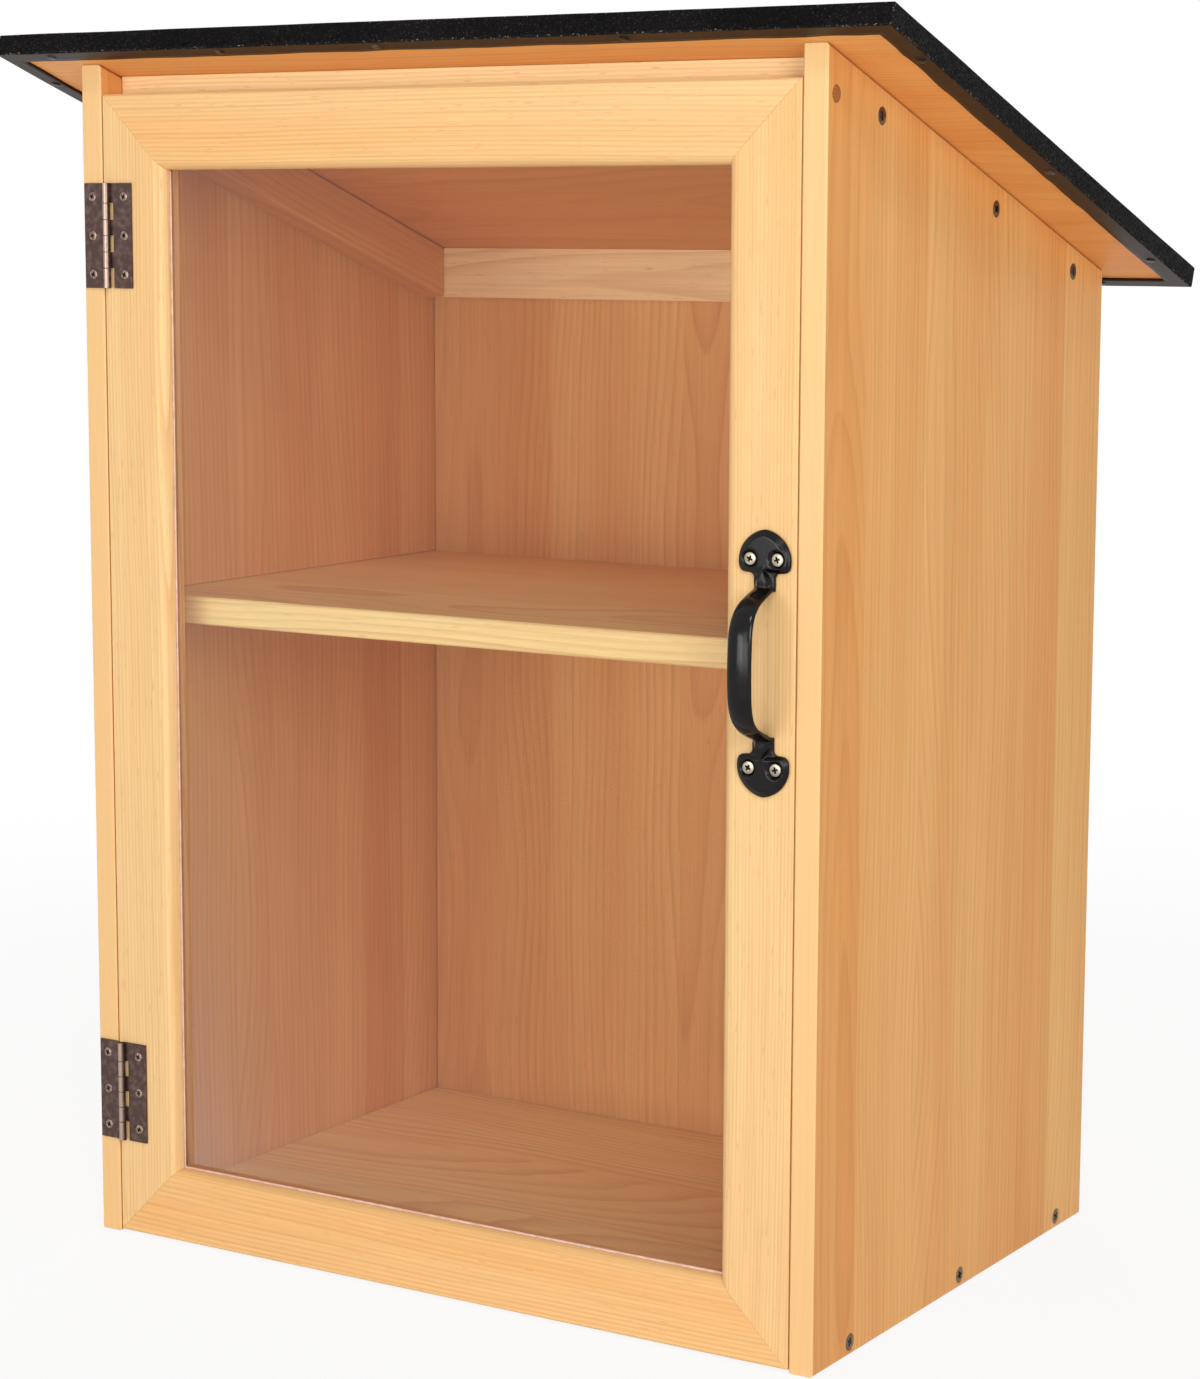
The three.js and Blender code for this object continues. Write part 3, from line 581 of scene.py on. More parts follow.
def cross_head_screw(head, shank, length, head_depth):
    """A countersunk wood screw with a crowned head and a tapered cross recess, its face at Z = 0."""
    radius = head / 2
    rim = 0.05 * head
    crown = [(0, 0.03), (0.25, 0.025), (0.425, 0.008), (0.485, -0.012)]
    bm = spun([(across * head, up * head) for across, up in crown] + [
        (radius, -rim), (shank / 2, -head_depth), (shank / 2, -0.8 * length), (0, -length),
    ])
    # Each arm of the cross is a wedge: its length, its width and its depth either side of the face
    cutter = bmesh.new()
    recess = 0.62 * head_depth
    mouth, floor = (1.44 * radius, 0.46 * radius, recess), (0.504 * radius, 0.22 * radius, -recess)
    for turn in (0, 1):
        arm = bmesh.ops.create_cube(cutter, size=1.0)["verts"]
        for vert in arm:
            length_here, width_here, vert.co.z = mouth if vert.co.z > 0 else floor
            vert.co.x *= length_here
            vert.co.y *= width_here
        quarter = Matrix.Rotation(turn * math.pi / 2, 3, "Z")
        bmesh.ops.rotate(cutter, verts=arm, cent=(0, 0, 0), matrix=quarter)
    screw = subtracted(bm, cutter)
    screw.normal_update()
    # The recess takes a dark finish, painted shade: its faces are below the crown, and don't lean outwards
    # as the rim does
    for face in screw.faces:
        centre = face.calc_center_median()
        sunk = -0.8 * head_depth < centre.z < -0.015 * head
        if sunk and face.normal.xy.dot(centre.xy) < 0.3 * centre.xy.length:
            face.material_index = 1
    return screw


def subtracted(bm, cutter):
    """The first solid less the second."""
    solid, tool = as_object("solid", bm), as_object("cutter", cutter)
    cut = solid.modifiers.new("cut", "BOOLEAN")
    cut.operation, cut.solver, cut.use_self, cut.object = "DIFFERENCE", "EXACT", True, tool
    result = bmesh.new()
    result.from_mesh(evaluated_mesh(solid))
    for thing in (solid, tool):
        bpy.data.objects.remove(thing)
    return result


def evaluated_mesh(piece):
    """The mesh that a piece's modifiers make."""
    bpy.context.view_layer.update()
    depsgraph = bpy.context.evaluated_depsgraph_get()
    return bpy.data.meshes.new_from_object(piece.evaluated_get(depsgraph))


def screws_at(nodes, screw, outward):
    """One mesh with a screw at each node, its head towards outward, each turned its own way."""
    row = bmesh.new()
    across = outward.orthogonal().normalized()
    turned = Matrix((across, outward.cross(across), outward)).transposed().to_4x4()
    for i, node in enumerate(nodes):
        low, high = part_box(node)
        middle = (low + high) / 2
        face = max(low.dot(outward), high.dot(outward))
        seat = middle + outward * (face - middle.dot(outward))
        twist = Matrix.Rotation(math.radians(23 + 41 * i), 4, "Z")
        join_into(row, screw, Matrix.Translation(seat) @ turned @ twist)
    return row


# Pieces


def roof_tilt():
    """The roof's fall to the back, from the widest face of the roof board."""
    widest = max(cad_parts["roof_board"].data.polygons, key=lambda face: face.area)
    normal = widest.normal if widest.normal.z > 0 else -widest.normal
    return math.atan2(normal.y, normal.z)


def dress(names, material):
    """Gives CAD nodes whose shape is right their finish."""
    for name in names:
        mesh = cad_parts[name].data
        mesh.materials.clear()
        mesh.materials.append(material)


class BOOKBOX_OT_boards(bpy.types.Operator):
    """Finish the cabinet's boards, the shelf and the roof board in lacquered pine"""
    bl_idname = "bookbox.boards"
    bl_label = "Boards"

    def execute(self, context):
        settings = context.scene.book_box_pine
        broad = {"pale": settings.broad, "ruddy": settings.broad_ruddy}
        low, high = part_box("side_panel_right")
        front, back, outside = low.y, high.y, high.x
        # Six staves whose glue lines, ruddiness and figure follow the right-hand side
        dress(["side_panel_left", "side_panel_right"], pine(
            "pine_side_staves", "YXZ", (front, back), outside,
            [(0.13, 36, 10, 0.75), (0.33, -120, 60, 0.45), (0.44, 210, 150, 0.3),
             (0.72, 300, 60, 0.45), (0.845, 330, 40, 0.9), (1.0, 120, 120, 0.3)],
            edge=front + 0.9 * MM, **broad,
        ))
        low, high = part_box("back_panel")
        dress(["back_panel"], pine(
            "pine_back_staves", "XYZ", (low.x, high.x), high.y,
            [(0.2, 40, 36, 0.4), (0.42, 260, 90, 0.2), (0.63, 190, 30, 0.5), (0.8, 480, 60, 0.3),
             (1.0, 350, 44, 0.6)], **broad,
        ))
        low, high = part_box("header_rail")
        # These rails are paler than the other pine: painted light, which makes up for the shade under the
        # eaves and inside the cabinet
        for rail, pale in (("header_rail", "#F9DDA6"), ("rear_rail", "#FFDFA8")):
            dress([rail], pine(
                f"pine_{rail}", "ZYX", (low.z, high.z), -low.y, [(1.0, -60, 60, 0.05)], growth=0.5,
                swing=0.3, pale=linear(pale), ruddy=linear("#FFCF98"),
            ))
        # The shelf and floor panel are paler than the other pine: painted light, which makes up for the
        # shade inside the cabinet
        low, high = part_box("shelf")
        dress(["shelf", "floor_panel"], pine(
            "pine_shelf_staves", "YZX", (low.y, high.y), high.z,
            [(0.3, 60, 60, 0.1), (0.62, 200, 60, 0.3), (1.0, 90, 90, 0.2)],
            pale=linear("#FFE19C"), ruddy=linear("#FFD08C"),
        ))
        # The roof's pieces are laid level first, and these are their places then
        tilt = roof_tilt()
        slope, board_face = (-160 * MM, 200 * MM), 500 * MM
        height, rafter_face = (300 * MM, 600 * MM), 190 * MM
        dress(["roof_board"], pine(
            "pine_roof_staves", "YZX", slope, board_face,
            [(0.27, 60, 70, 0.6), (0.52, 260, 40, 0.75), (0.78, 210, 60, 0.5), (1.0, 400, 40, 0.7)],
            tilt=tilt, pale=linear("#F2B56D"), ruddy=linear("#E89D55"),
        ))
        dress(["rafter_left", "rafter_right"], pine(
            "pine_rafters", "ZXY", height, rafter_face, [(1.0, 20, 60, 0.6)], tilt=tilt, **broad,
        ))
        dress(["wood_plug"], end_grain_plug())
        return {"FINISHED"}


class BOOKBOX_OT_door(bpy.types.Operator):
    """Make the mitred door frame, its glazing beads and the clear pane"""
    bl_idname = "bookbox.door"
    bl_label = "Door"

    def execute(self, context):
        settings = context.scene.book_box_pine
        low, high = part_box("door_stile_hinge")
        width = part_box("door_rail_top")[1].x
        # Each kind's grain, span and places, then the woods of its members and of its beads
        kinds = {
            "stile": ("XYZ", (-width, width), ("hinge", "latch"),
                      ("pine_stiles", [(0.5, -70, 60, 0.0), (1.0, 560, 70, 0.25)]),
                      ("pine_bead_upright", [(0.5, -30, 60, 0.3), (1.0, 500, 60, 0.3)])),
            "rail": ("ZYX", (low.z, high.z), ("bottom", "top"),
                     ("pine_door_rails", [(0.5, 90, 60, 0.45), (1.0, 480, 50, 0.35)]),
                     ("pine_bead_level", [(0.5, 60, 60, 0.3), (1.0, 420, 60, 0.3)])),
        }
        for kind, (grain, span, places, (wood, staves), (bead, bead_staves)) in kinds.items():
            wood = pine(wood, grain, span, -low.y, staves, growth=0.5, swing=0.35)
            # The beads' wood is paler: painted light for the shade in the rebates
            bead = pine(bead, grain, span, -low.y, bead_staves, pale=settings.bead)
            along = "XYZ".index(grain[2])
            for place in places:
                member, strip = f"door_{kind}_{place}", f"glazing_bead_{kind}_{place}"
                moulding = closed_mitres(merged_copy(member), along)
                add_piece(f"{member}_moulding", moulding, "door", [wood], [member])
                moulding = closed_mitres(merged_copy(strip), along)
                add_piece(f"{strip}_strip", moulding, "door", [bead], [strip])
        self.pane()
        return {"FINISHED"}

    def pane(self):
        """The sheet, with a pale film border on its sawn edges and, torn off short, on the border in front:
        partly protective film, partly painted glow of the sheet's edges.
        """
        low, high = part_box("door_pane")
        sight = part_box("glazing_bead_stile_hinge")[1].x
        bm = bmesh.new()
        bmesh.ops.create_cube(bm, size=1.0)
        bmesh.ops.scale(bm, vec=high - low, verts=bm.verts)
        bmesh.ops.translate(bm, vec=(low + high) / 2, verts=bm.verts)
        ahead = [face for face in bm.faces if face.normal.y < -0.9]
        for face in bm.faces:
            face.material_index = 0 if abs(face.normal.y) > 0.9 else 1
        covered = sight - low.x + FILM_SHOWN
        border = bmesh.ops.inset_region(
            bm, faces=ahead, thickness=covered, use_even_offset=True,
        )["faces"]
        for face in border:
            if face.calc_center_median().z < high.z - covered:
                face.material_index = 1
        rims = [edge for edge in bm.edges if edge.calc_face_angle(0.0) > CORNER]
        bmesh.ops.bevel(
            bm, geom=rims, offset=0.15 * MM, affect="EDGES", segments=1, profile=0.5, material=-1,
        )
        add_piece("door_pane_sheet", bm, "door", [clear_acrylic(), film_border_glow()],
                  ["door_pane"])


class BOOKBOX_OT_roof(bpy.types.Operator):
    """Wrap the roof board in granular felt and nail the fold under the eaves"""
    bl_idname = "bookbox.roof"
    bl_label = "Roof felt"

    def execute(self, context):
        settings = context.scene.book_box_roof
        lay = Matrix.Rotation(-roof_tilt(), 4, "X")
        flat = [lay.inverted() @ vert.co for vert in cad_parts["roof_felt"].data.vertices]
        low = Vector([min(point[i] for point in flat) for i in range(3)])
        high = Vector([max(point[i] for point in flat) for i in range(3)])
        fold, thickness, rounding = 11 * MM, 1 * MM, 0.9 * MM
        size = high - low
        # Squares of some 4 mm, on which the felt can dip
        rows = 88
        columns = int(rows * size.x / size.y)
        bm = bmesh.new()
        bmesh.ops.create_grid(bm, x_segments=columns, y_segments=rows, size=0.5)
        bmesh.ops.scale(bm, vec=(size.x, size.y, 1), verts=bm.verts)
        middle = (low + high) / 2
        bmesh.ops.translate(bm, vec=(middle.x, middle.y, high.z), verts=bm.verts)
        # Down over the board's edges in three steps, and under them in four
        for _ in range(3):
            self.turn_down(bm, Vector((0, 0, (low.z - high.z) / 3)), 0.0, middle)
        rim = [edge for edge in bm.edges if self.on_rim(edge, high)]
        for _ in range(4):
            self.turn_down(bm, Vector(), fold / 4, middle)
        self.waver(bm, middle, CUT_WAVER)
        # The fold under the board takes the felt's back, whose brown is painted bounce light
        for face in bm.faces:
            face.material_index = 1 if face.calc_center_median().z < low.z + 0.01 * MM else 0
        # The rounded rims take the paler grit: partly wear, partly a painted highlight along the edges
        rounded = bmesh.ops.bevel(
            bm, geom=rim, offset=rounding, affect="EDGES", segments=3, profile=0.5, material=-1,
        )["faces"]
        for face in rounded:
            face.material_index = 2
        bmesh.ops.recalc_face_normals(bm, faces=bm.faces)
        self.ripple(bm)
        bm.transform(lay)
        black = granular_felt("mineral_roofing_felt", linear("#0C0A0A"), settings.grit)
        rubbed = granular_felt("worn_and_glinting_felt_edge", linear("#1A1716"), settings.rubbed)
        felt = add_piece("roof_felt_cover", bm, "cabinet", [black, felt_back_warm_bounce(), rubbed],
                         ["roof_felt"])
        wall = felt.modifiers.new("felt_thickness", "SOLIDIFY")
        wall.thickness, wall.offset, wall.material_offset = thickness, -1, 0
        self.nails(settings, lay, low, high, fold)
        return {"FINISHED"}

    @staticmethod
    def on_rim(edge, high):
        """True along the top edge, the bottom edge and the four upright corners."""
        if edge.is_boundary:
            return True
        first, second = (vert.co for vert in edge.verts)
        level = abs(first.z - high.z) < TOUCH and abs(second.z - high.z) < TOUCH
        upright = abs(first.z - second.z) > TOUCH
        return (level or upright) and edge.calc_face_angle(0.0) > CORNER

    @staticmethod
    def turn_down(bm, drop, inwards, middle):
        """Grows the sheet from its free edge, down by drop or inwards by a width."""
        free = [edge for edge in bm.edges if edge.is_boundary]
        grown = bmesh.ops.extrude_edge_only(bm, edges=free)["geom"]
        verts = [item for item in grown if isinstance(item, bmesh.types.BMVert)]
        half_x = max(vert.co.x - middle.x for vert in verts)
        half_y = max(vert.co.y - middle.y for vert in verts)
        bmesh.ops.translate(bm, vec=drop, verts=verts)
        if inwards:
            shrink = Vector(((half_x - inwards) / half_x, (half_y - inwards) / half_y, 1))
            bmesh.ops.scale(bm, vec=shrink, verts=verts, space=Matrix.Translation(-middle))

    @staticmethod
    def waver(bm, middle, amount):
        """Lets the cut edge of the fold run off its line by up to an amount."""
        free = {vert for edge in bm.edges if edge.is_boundary for vert in edge.verts}
        half = [max(abs(vert.co[i] - middle[i]) for vert in free) for i in (0, 1)]
        for vert in free:
            sway = amount * noise.noise(vert.co * 40)
            for i in (0, 1):
                away = vert.co[i] - middle[i]
                if abs(away) > half[i] - 0.01 * MM:
                    vert.co[i] += math.copysign(sway, away)

    @staticmethod
    def ripple(bm):
        """Felt never lies dead flat: it dips inwards here and there."""
        bm.normal_update()
        shifts = [
            vert.normal * -FELT_DIP * (0.5 + 0.5 * noise.noise(vert.co * 28))
            for vert in bm.verts
        ]
        for vert, shift in zip(bm.verts, shifts):
            vert.co += shift

    @staticmethod
    def nails(settings, lay, low, high, fold):
        """Clout nails through the fold: where the photograph shows them, and matched behind.

        Their places are in mm, across from the middle or back from the front edge. bite is how far
        their heads are driven into the felt.
        """
        radius, rise = settings.nail_head / 2, settings.nail_rise
        nail = spun([
            (0, rise), (0.5 * radius, 0.95 * rise), (0.85 * radius, 0.7 * rise), (radius, 0.25 * rise),
            (radius, 0), (0.3 * radius, 0), (0.3 * radius, -5 * MM), (0, -6 * MM),
        ], steps=20)
        inset, bite = 0.5 * fold, 0.2 * MM
        front = [(x * MM, low.y + inset) for x in (-213, -109, -19, 113)]
        rear = [(x * MM, high.y - inset) for x in (-205, -80, 60, 198)]
        edges = [(side * (high.x - inset), low.y + y * MM) for side in (-1, 1) for y in (40, 180, 308)]
        row = bmesh.new()
        flip = Matrix.Rotation(math.pi, 4, "X")
        for x, y in front + rear + edges:
            join_into(row, nail, lay @ Matrix.Translation((x, y, low.z + bite)) @ flip)
        nail.free()
        metal = plated(
            "blued_nails", linear("#2A2624"), linear("#8C8078"), wear=0.7, roughness=0.4, metallic=0.9,
        )
        add_piece("felt_nails", row, "cabinet", [metal])


class BOOKBOX_OT_hinges(bpy.types.Operator):
    """Make the two butt hinges: notched leaves, rolled knuckles and pins"""
    bl_idname = "bookbox.hinges"
    bl_label = "Hinges"

    def execute(self, context):
        settings = context.scene.book_box_metal
        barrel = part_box("hinge_top_pin")
        # From the barrel's front back by 1.2 mm the bronze turns pale: partly wear, partly a painted
        # highlight
        bronze = plated(
            "antique_bronze", settings.bronze, settings.rubbed, wear=0.16, roughness=0.34, metallic=0.85,
            mottle=320.0, front_wear_and_highlight=(barrel[0].y, barrel[0].y - 1.2 * MM),
        )
        # The pin's steel is painted dark so that it also reads as the shade in the gaps between the
        # knuckles
        dark = plated(
            "hinge_pin_and_joint_shade", linear("#2A211D"), linear("#5C4C44"), wear=0.3, roughness=0.4, metallic=0.8,
        )
        for height in ("top", "bottom"):
            for leaf, body in (("frame", "cabinet"), ("door", "door")):
                node = f"hinge_{height}_{leaf}_leaf"
                rolled = merged_copy(node)
                # The knuckles' ends take the pin's dark finish: painted shade, which darkens the joints
                # between the knuckles
                for face in rolled.faces:
                    face.material_index = 1 if abs(face.normal.z) > 0.9 else 0
                add_piece(f"{node}_rolled", rolled, body, [bronze, dark], [node],
                          bevel=0.34 * MM)
            pin = f"hinge_{height}_pin"
            add_piece(f"{pin}_turned", merged_copy(pin), "cabinet", [dark], [pin],
                      bevel=0.2 * MM)
        return {"FINISHED"}


class BOOKBOX_OT_handle(bpy.types.Operator):
    """Model the cast bow handle: stepped spades, ridged tongues and a crowned strap in one skin"""
    bl_idname = "bookbox.handle"
    bl_label = "Pull handle"

    def execute(self, context):
        low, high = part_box("pull_handle")
        seat = Vector(((low.x + high.x) / 2, high.y, (low.z + high.z) / 2))
        end = bmesh.new()
        # The plate and the two steps of its mound: share of the outline, neck or none, where its back
        # lies, thickness and rounding in mm
        for scale, neck, start, thickness, edge in (
            (1.0, True, 0.0, 1.6, 0.6), (0.91, False, 0.4, 1.9, 0.62), (0.8, False, 0.4, 2.6, 0.66),
        ):
            self.pad(end, self.outline(scale, neck), start * MM, thickness * MM, edge * MM)
        end = subtracted(end, self.countersinks(seat))
        self.tongue(end)
        bm = bmesh.new()
        for turn in (0, math.pi):
            join_into(bm, end, Matrix.Rotation(turn, 4, "Y"))
        end.free()
        self.strap(bm)
        bmesh.ops.recalc_face_normals(bm, faces=bm.faces)
        casting = as_object("casting", bm)
        skin = casting.modifiers.new("one_skin", "REMESH")
        skin.mode, skin.voxel_size = "VOXEL", CASTING_DETAIL
        whole = bmesh.new()
        whole.from_mesh(evaluated_mesh(casting))
        bpy.data.objects.remove(casting)
        for _ in range(2):
            bmesh.ops.smooth_vert(
                whole, verts=whole.verts, factor=0.5, use_axis_x=True, use_axis_y=True, use_axis_z=True,
            )
        bmesh.ops.translate(whole, vec=seat, verts=whole.verts)
        add_piece("pull_handle_casting", whole, "door", [stoved_enamel()],
                  ["pull_handle"], smooth_under=180.0)
        return {"FINISHED"}

    @staticmethod
    def outline(scale, neck):
        """The spade's outline in X and Z: an arched tip, ears and, for the plate, a neck."""
        centre = Vector((0, 0.44 * SPADE_HEIGHT))

        def at(across, up):
            place = Vector((across * SPADE_HALF_WIDTH, up * SPADE_HEIGHT))
            return centre + scale * (place - centre)

        arch = geometry.interpolate_bezier(at(0, 1), at(0.5, 0.97), at(1, 0.66), at(1, 0.27), 14)
        ear = geometry.interpolate_bezier(at(1, 0.27), at(1, 0.08), at(0.9, 0), at(0.64, 0), 8)
        right = arch + ear[1:]
        if neck:
            pulls = (Vector((NECK_HALF_WIDTH + 1.1, 0)), Vector((NECK_HALF_WIDTH, -0.6)))
            shoulder = Vector((NECK_HALF_WIDTH, -2.6))
            right += geometry.interpolate_bezier(at(0.64, 0), *pulls, shoulder, 6)[1:]
            right.append(Vector((NECK_HALF_WIDTH, -NECK_LENGTH)))
        left = [Vector((-point.x, point.y)) for point in reversed(right[1:])]
        return [Vector((point.x, 0, point.y + SPADE_FOOT)) * MM for point in right + left]

    @staticmethod
    def pad(bm, outline, start, thickness, edge):
        """A pad that grows from an outline towards the viewer, its front rim rounded."""
        face = bm.faces.new([bm.verts.new(point + Vector((0, -start, 0))) for point in outline])
        bm.normal_update()
        if face.normal.y > 0:
            face.normal_flip()
        grown = bmesh.ops.extrude_face_region(bm, geom=[face], use_keep_orig=True)["geom"]
        front = next(item for item in grown if isinstance(item, bmesh.types.BMFace))
        bmesh.ops.translate(bm, vec=(0, -thickness, 0), verts=front.verts)
        bmesh.ops.bevel(
            bm, geom=list(front.edges), offset=edge, affect="EDGES", segments=3, profile=0.5, material=-1,
        )
        bmesh.ops.recalc_face_normals(bm, faces=bm.faces)

    @staticmethod
    def countersinks(seat):
        """What is taken out of a spade for its two screws, whose heads lie below the mound's top."""
        cutter = bmesh.new()
        # Radius and height in mm: the shank's hole, the head's cone and the wider mouth above it
        sink = spun([(radius * MM, height * MM) for radius, height in (
            (0, -3), (2.1, -3), (2.1, -1.5), (3.2, 0), (4.4, 1.35), (4.4, 2), (0, 2),
        )])
        for node in ("handle_screw_1", "handle_screw_2"):
            low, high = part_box(node)
            place = (low + high) / 2 - seat
            place.y = -SINK_FLOOR * MM
            join_into(cutter, sink, Matrix.Translation(place) @ Matrix.Rotation(math.pi / 2, 4, "X"))
        sink.free()
        return cutter

    @staticmethod
    def tongue(bm):
        """The ridge that runs up the neck: four-sided rings, flared at the neck and pointed above."""
        # In mm: place from the spade's foot, half-widths at its root and crest, height of the crest
        stations = [
            (-NECK_LENGTH, 4.9, 2.1, 4.3), (-3.6, 4.9, 2.0, 4.4), (-2.4, 4.1, 1.7, 4.4),
            (-1.2, 3.1, 1.3, 4.3), (0.2, 2.1, 0.9, 4.2), (1.6, 1.2, 0.5, 3.9), (3.1, 0.3, 0.15, 3.0),
        ]
        rings = []
        for along, base, crest, rise in stations:
            corners = [(-base, 1.0), (-crest, rise), (crest, rise), (base, 1.0)]
            up = along + SPADE_FOOT
            rings.append([bm.verts.new((x * MM, -out * MM, up * MM)) for x, out in corners])
        bridge(bm, rings)

    @staticmethod
    def strap(bm):
        """The bow: rings of an oval along its curve, which narrow towards the necks."""
        # Shares of the half length along the door and of the reach off it
        shares = [
            (1.06, 0.06), (1, 0.14), (0.93, 0.4), (0.84, 0.66), (0.7, 0.86), (0.5, 0.97), (0.25, 1),
            (0, 1.01),
        ]
        half = [Vector((0, -STRAP_REACH * out, STRAP_HALF_LENGTH * along)) for along, out in shares]
        path = smooth_path(half + [Vector((0, p.y, -p.z)) for p in reversed(half[:-1])], 6)
        rings = []
        for i, point in enumerate(path):
            along = (path[min(i + 1, len(path) - 1)] - path[max(i - 1, 0)]).normalized()
            outward = Vector((1, 0, 0)).cross(along)
            share = min(1.0, abs(point.z) / STRAP_HALF_LENGTH)
            width = STRAP_HALF_WIDTH - STRAP_NARROWING * share ** 3
            turned = Matrix((Vector((1, 0, 0)), outward, along)).transposed().to_4x4()
            size = Matrix.Diagonal((width, STRAP_HALF_THICKNESS, 1, 1))
            rings.append(bmesh.ops.create_circle(
                bm, segments=32, radius=1.0,
                matrix=Matrix.Scale(MM, 4) @ Matrix.Translation(point) @ turned @ size,
            )["verts"])
        bridge(bm, rings)


class BOOKBOX_OT_screws(bpy.types.Operator):
    """Make the cross-headed screws of the cabinet, the hinges and the handle"""
    bl_idname = "bookbox.screws"
    bl_label = "Screws"

    def execute(self, context):
        settings = context.scene.book_box_metal
        # Names, colours as plated and as worn, wear, roughness, metallic and mottles to the metre
        brown = plated("bronzed_screw_steel", settings.screw, linear("#A98C70"), 0.5, 0.38, 0.9, 420.0)
        dark = plated("hinge_screw_steel", linear("#7A655B"), settings.rubbed, 0.9, 0.34, 0.9, 700.0)
        nickel = plated("nickelled_screw_steel", settings.nickel, linear("#E2D9C6"), 0.5, 0.3, 0.95, 500.0)
        # A dark finish for the screws' cross recesses: painted shade, where the recess lies in shadow
        recess_shade = plated("screw_recess_painted_shade", linear("#241B15"), linear("#57483A"), 0.3, 0.5, 0.5, 700.0)
        wide = cross_head_screw(head=8 * MM, shank=4 * MM, length=28 * MM, head_depth=2.6 * MM)
        for side, outward in (("left", Vector((-1, 0, 0))), ("right", Vector((1, 0, 0)))):
            nodes = [f"{row}_screw_{side}_{i}" for row in ("floor", "rafter") for i in (1, 2, 3)]
            add_piece(f"side_screws_{side}", screws_at(nodes, wide, outward), "cabinet",
                      [brown, recess_shade], nodes)
        front = Vector((0, -1, 0))
        small = cross_head_screw(head=4.8 * MM, shank=2.4 * MM, length=12 * MM, head_depth=1.5 * MM)
        for height in ("top", "bottom"):
            for leaf, body in (("frame", "cabinet"), ("door", "door")):
                nodes = [f"hinge_{height}_{leaf}_screw_{i}" for i in (1, 2, 3)]
                add_piece(f"hinge_{height}_{leaf}_screws", screws_at(nodes, small, front), body,
                          [dark, recess_shade], nodes)
        plain = cross_head_screw(head=5.7 * MM, shank=2.8 * MM, length=12 * MM, head_depth=1.9 * MM)
        nodes = [f"handle_screw_{i}" for i in (1, 2, 3, 4)]
        add_piece("handle_screws", screws_at(nodes, plain, front), "door", [nickel, recess_shade],
                  nodes)
        for screw in (wide, small, plain):
            screw.free()
        return {"FINISHED"}


class BOOKBOX_OT_catch(bpy.types.Operator):
    """Round the magnetic catch, its magnet plates and its strike plate"""
    bl_idname = "bookbox.catch"
    bl_label = "Catch"

    def execute(self, context):
        settings = context.scene.book_box_metal
        steel = plated(
            "zinc_plate", settings.nickel, linear("#D8D3C8"), wear=0.6, roughness=0.34, metallic=0.95,
        )
        add_piece("catch_case_moulding", merged_copy("catch_case"), "cabinet",
                  [moulded_plastic()], ["catch_case"], bevel=0.5 * MM)
        add_piece("catch_magnet_plates", merged_copy("catch_magnet"), "cabinet", [steel],
                  ["catch_magnet"], bevel=0.1 * MM)
        add_piece("catch_strike_pressing", merged_copy("catch_strike_plate"), "door",
                  [steel], ["catch_strike_plate"], bevel=0.1 * MM)
        return {"FINISHED"}


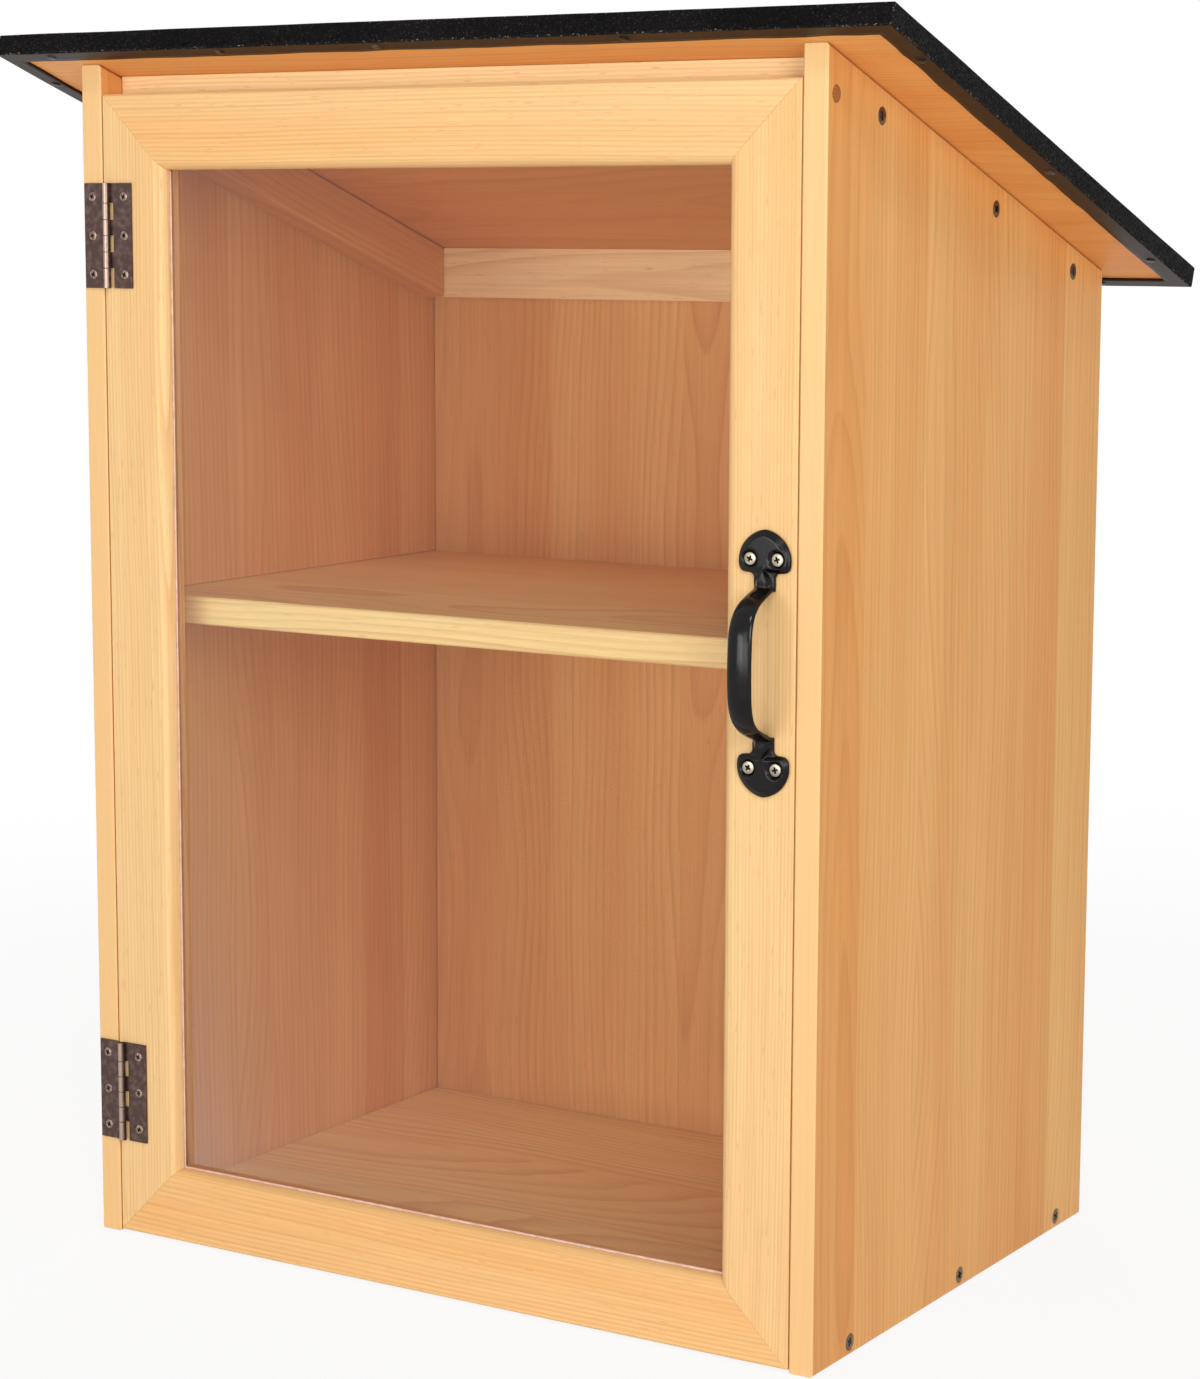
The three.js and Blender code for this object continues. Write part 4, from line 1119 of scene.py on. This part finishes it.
class BOOKBOX_OT_stage(bpy.types.Operator):
    """Set the pale floor, the soft studio light and the camera at the photograph's angle"""
    bl_idname = "bookbox.stage"
    bl_label = "Studio"

    def execute(self, context):
        settings = context.scene.book_box_stage
        self.floor(settings)
        self.sky(context.scene, settings)
        self.lamp("key", settings.key, (0.25, -2.6, 0.6), (0.9, 0.9))
        self.lamp("low", settings.low, (0.3, -2.1, 0.2), (1.6, 0.3))
        self.lamp("top", settings.top, (0.9, -1.4, 1.8), (0.28, 0.28))
        self.lamp("fill", settings.fill, (2.0, -1.7, 0.9), (0.9, 1.1))
        self.lamp("side", settings.side, (-0.6, -2.3, 0.4), (0.7, 0.6))
        self.lamp("rear", settings.rear, (-1.7, 1.9, 0.9), (1.2, 1.2))
        self.camera(context.scene)
        context.scene.view_settings.view_transform = "Standard"
        return {"FINISHED"}

    @staticmethod
    def floor(settings):
        """A pale disc that fades into the background before its rim."""
        bm = bmesh.new()
        bmesh.ops.create_circle(bm, cap_ends=True, segments=96, radius=2.6)
        bmesh.ops.translate(bm, vec=(0, 0, -0.3 * MM), verts=bm.verts)
        floor = as_object("studio_floor", bm)
        material, add, place = new_material("pale_studio_floor")
        reach = add("VectorMath", {0: place}, operation="LENGTH").outputs["Value"]
        fade = add("MapRange", {0: reach, 1: 0.5, 2: 1.5}, interpolation_type="SMOOTHSTEP")
        paint = add("BsdfDiffuse", {0: rgba(settings.floor)})
        white = add("Emission", {0: (1, 1, 1, 1), 1: 1.0})
        clear = add("BsdfTransparent")
        path = add("LightPath").outputs
        seen = path["Is Camera Ray"]
        # The camera, metal and glass see the paint whitened, but still with the shadow on it
        lit = add("Math", {0: seen, 1: path["Is Glossy Ray"]}, operation="MAXIMUM")
        lit = add("Math", {0: lit, 1: FLOOR_WHITENING}, operation="MULTIPLY")
        surface = add("MixShader", {0: lit, 1: paint, 2: white})
        amount = add("Math", {0: fade, 1: seen}, operation="MULTIPLY")
        mixed = add("MixShader", {0: amount, 1: surface, 2: clear})
        add("OutputMaterial", {0: mixed})
        floor.data.materials.append(material)

    @staticmethod
    def sky(scene, settings):
        """Even light from all round. The camera, metal and glass see a white background instead."""
        world = scene.world or bpy.data.worlds.new("studio")
        scene.world = world
        world.use_nodes = True
        world.node_tree.nodes.clear()
        add = partial(add_node, world.node_tree)
        path = add("LightPath").outputs
        seen = path["Is Camera Ray"]
        for ray in ("Is Glossy Ray", "Is Transmission Ray"):
            seen = add("Math", {0: seen, 1: path[ray]}, operation="MAXIMUM")
        even = add("Background", {0: (1, 1, 1, 1), 1: settings.sky})
        white = add("Background", {0: (1, 1, 1, 1), 1: 1.0})
        mixed = add("MixShader", {0: seen, 1: even, 2: white})
        add("OutputWorld", {0: mixed})

    @staticmethod
    def lamp(name, power, place, size):
        """A soft box, its size across and up, aimed at the middle of the cabinet."""
        data = bpy.data.lights.new(name, "AREA")
        data.shape, data.energy = "RECTANGLE", power
        data.size, data.size_y = size
        lamp = bpy.data.objects.new(name, data)
        bpy.context.scene.collection.objects.link(lamp)
        lamp.location = place
        lamp.rotation_euler = (Vector((0, 0, 0.3)) - lamp.location).to_track_quat("-Z", "Y").to_euler()

    @staticmethod
    def camera(scene):
        """The photograph's view, from a camera fitted to the cabinet's corners in it."""
        data = bpy.data.cameras.new("photograph")
        data.sensor_width = 36.0
        data.lens = data.sensor_width * FOCAL_PX / PHOTO_HEIGHT_PX
        camera = bpy.data.objects.new("photograph", data)
        scene.collection.objects.link(camera)
        yaw, pitch, roll = (math.radians(angle) for angle in (YAW, PITCH, ROLL))
        ahead = Vector((
            -math.sin(yaw) * math.cos(pitch), math.cos(yaw) * math.cos(pitch), -math.sin(pitch),
        ))
        right = Vector((math.cos(yaw), math.sin(yaw), 0))
        up = right.cross(ahead)
        level = right * math.cos(roll) + up * math.sin(roll)
        upright = up * math.cos(roll) - right * math.sin(roll)
        camera.matrix_world = Matrix((level, upright, -ahead)).transposed().to_4x4()
        camera.location = CAMERA_PLACE
        scene.camera = camera


class BOOKBOX_PT_sidebar(bpy.types.Panel):
    """Sizes, colours and makers of the book exchange box"""
    bl_label = "Book box"
    bl_idname = "BOOKBOX_PT_sidebar"
    bl_space_type = "VIEW_3D"
    bl_region_type = "UI"
    bl_category = "Book box"

    def draw(self, context):
        for settings in GROUPS:
            box = self.layout.box()
            group = getattr(context.scene, settings)
            for name in group.__annotations__:
                box.prop(group, name)
        for operator in OPERATORS:
            self.layout.operator(operator.bl_idname)


GROUPS = {
    "book_box_pine": BookBoxPine,
    "book_box_roof": BookBoxRoof,
    "book_box_metal": BookBoxMetal,
    "book_box_stage": BookBoxStage,
}
OPERATORS = (
    BOOKBOX_OT_stage, BOOKBOX_OT_boards, BOOKBOX_OT_door, BOOKBOX_OT_roof, BOOKBOX_OT_hinges,
    BOOKBOX_OT_handle, BOOKBOX_OT_screws, BOOKBOX_OT_catch,
)


def register():
    for settings, group in GROUPS.items():
        bpy.utils.register_class(group)
        setattr(bpy.types.Scene, settings, bpy.props.PointerProperty(type=group))
    for item in (*OPERATORS, BOOKBOX_PT_sidebar):
        bpy.utils.register_class(item)


def unregister():
    for item in (BOOKBOX_PT_sidebar, *reversed(OPERATORS)):
        bpy.utils.unregister_class(item)
    for settings, group in reversed(GROUPS.items()):
        delattr(bpy.types.Scene, settings)
        bpy.utils.unregister_class(group)


def main():
    register()
    bpy.ops.bookbox.stage()
    bpy.ops.bookbox.boards()
    bpy.ops.bookbox.door()
    bpy.ops.bookbox.roof()
    bpy.ops.bookbox.hinges()
    bpy.ops.bookbox.handle()
    bpy.ops.bookbox.screws()
    bpy.ops.bookbox.catch()


if __name__ == "__main__":
    main()
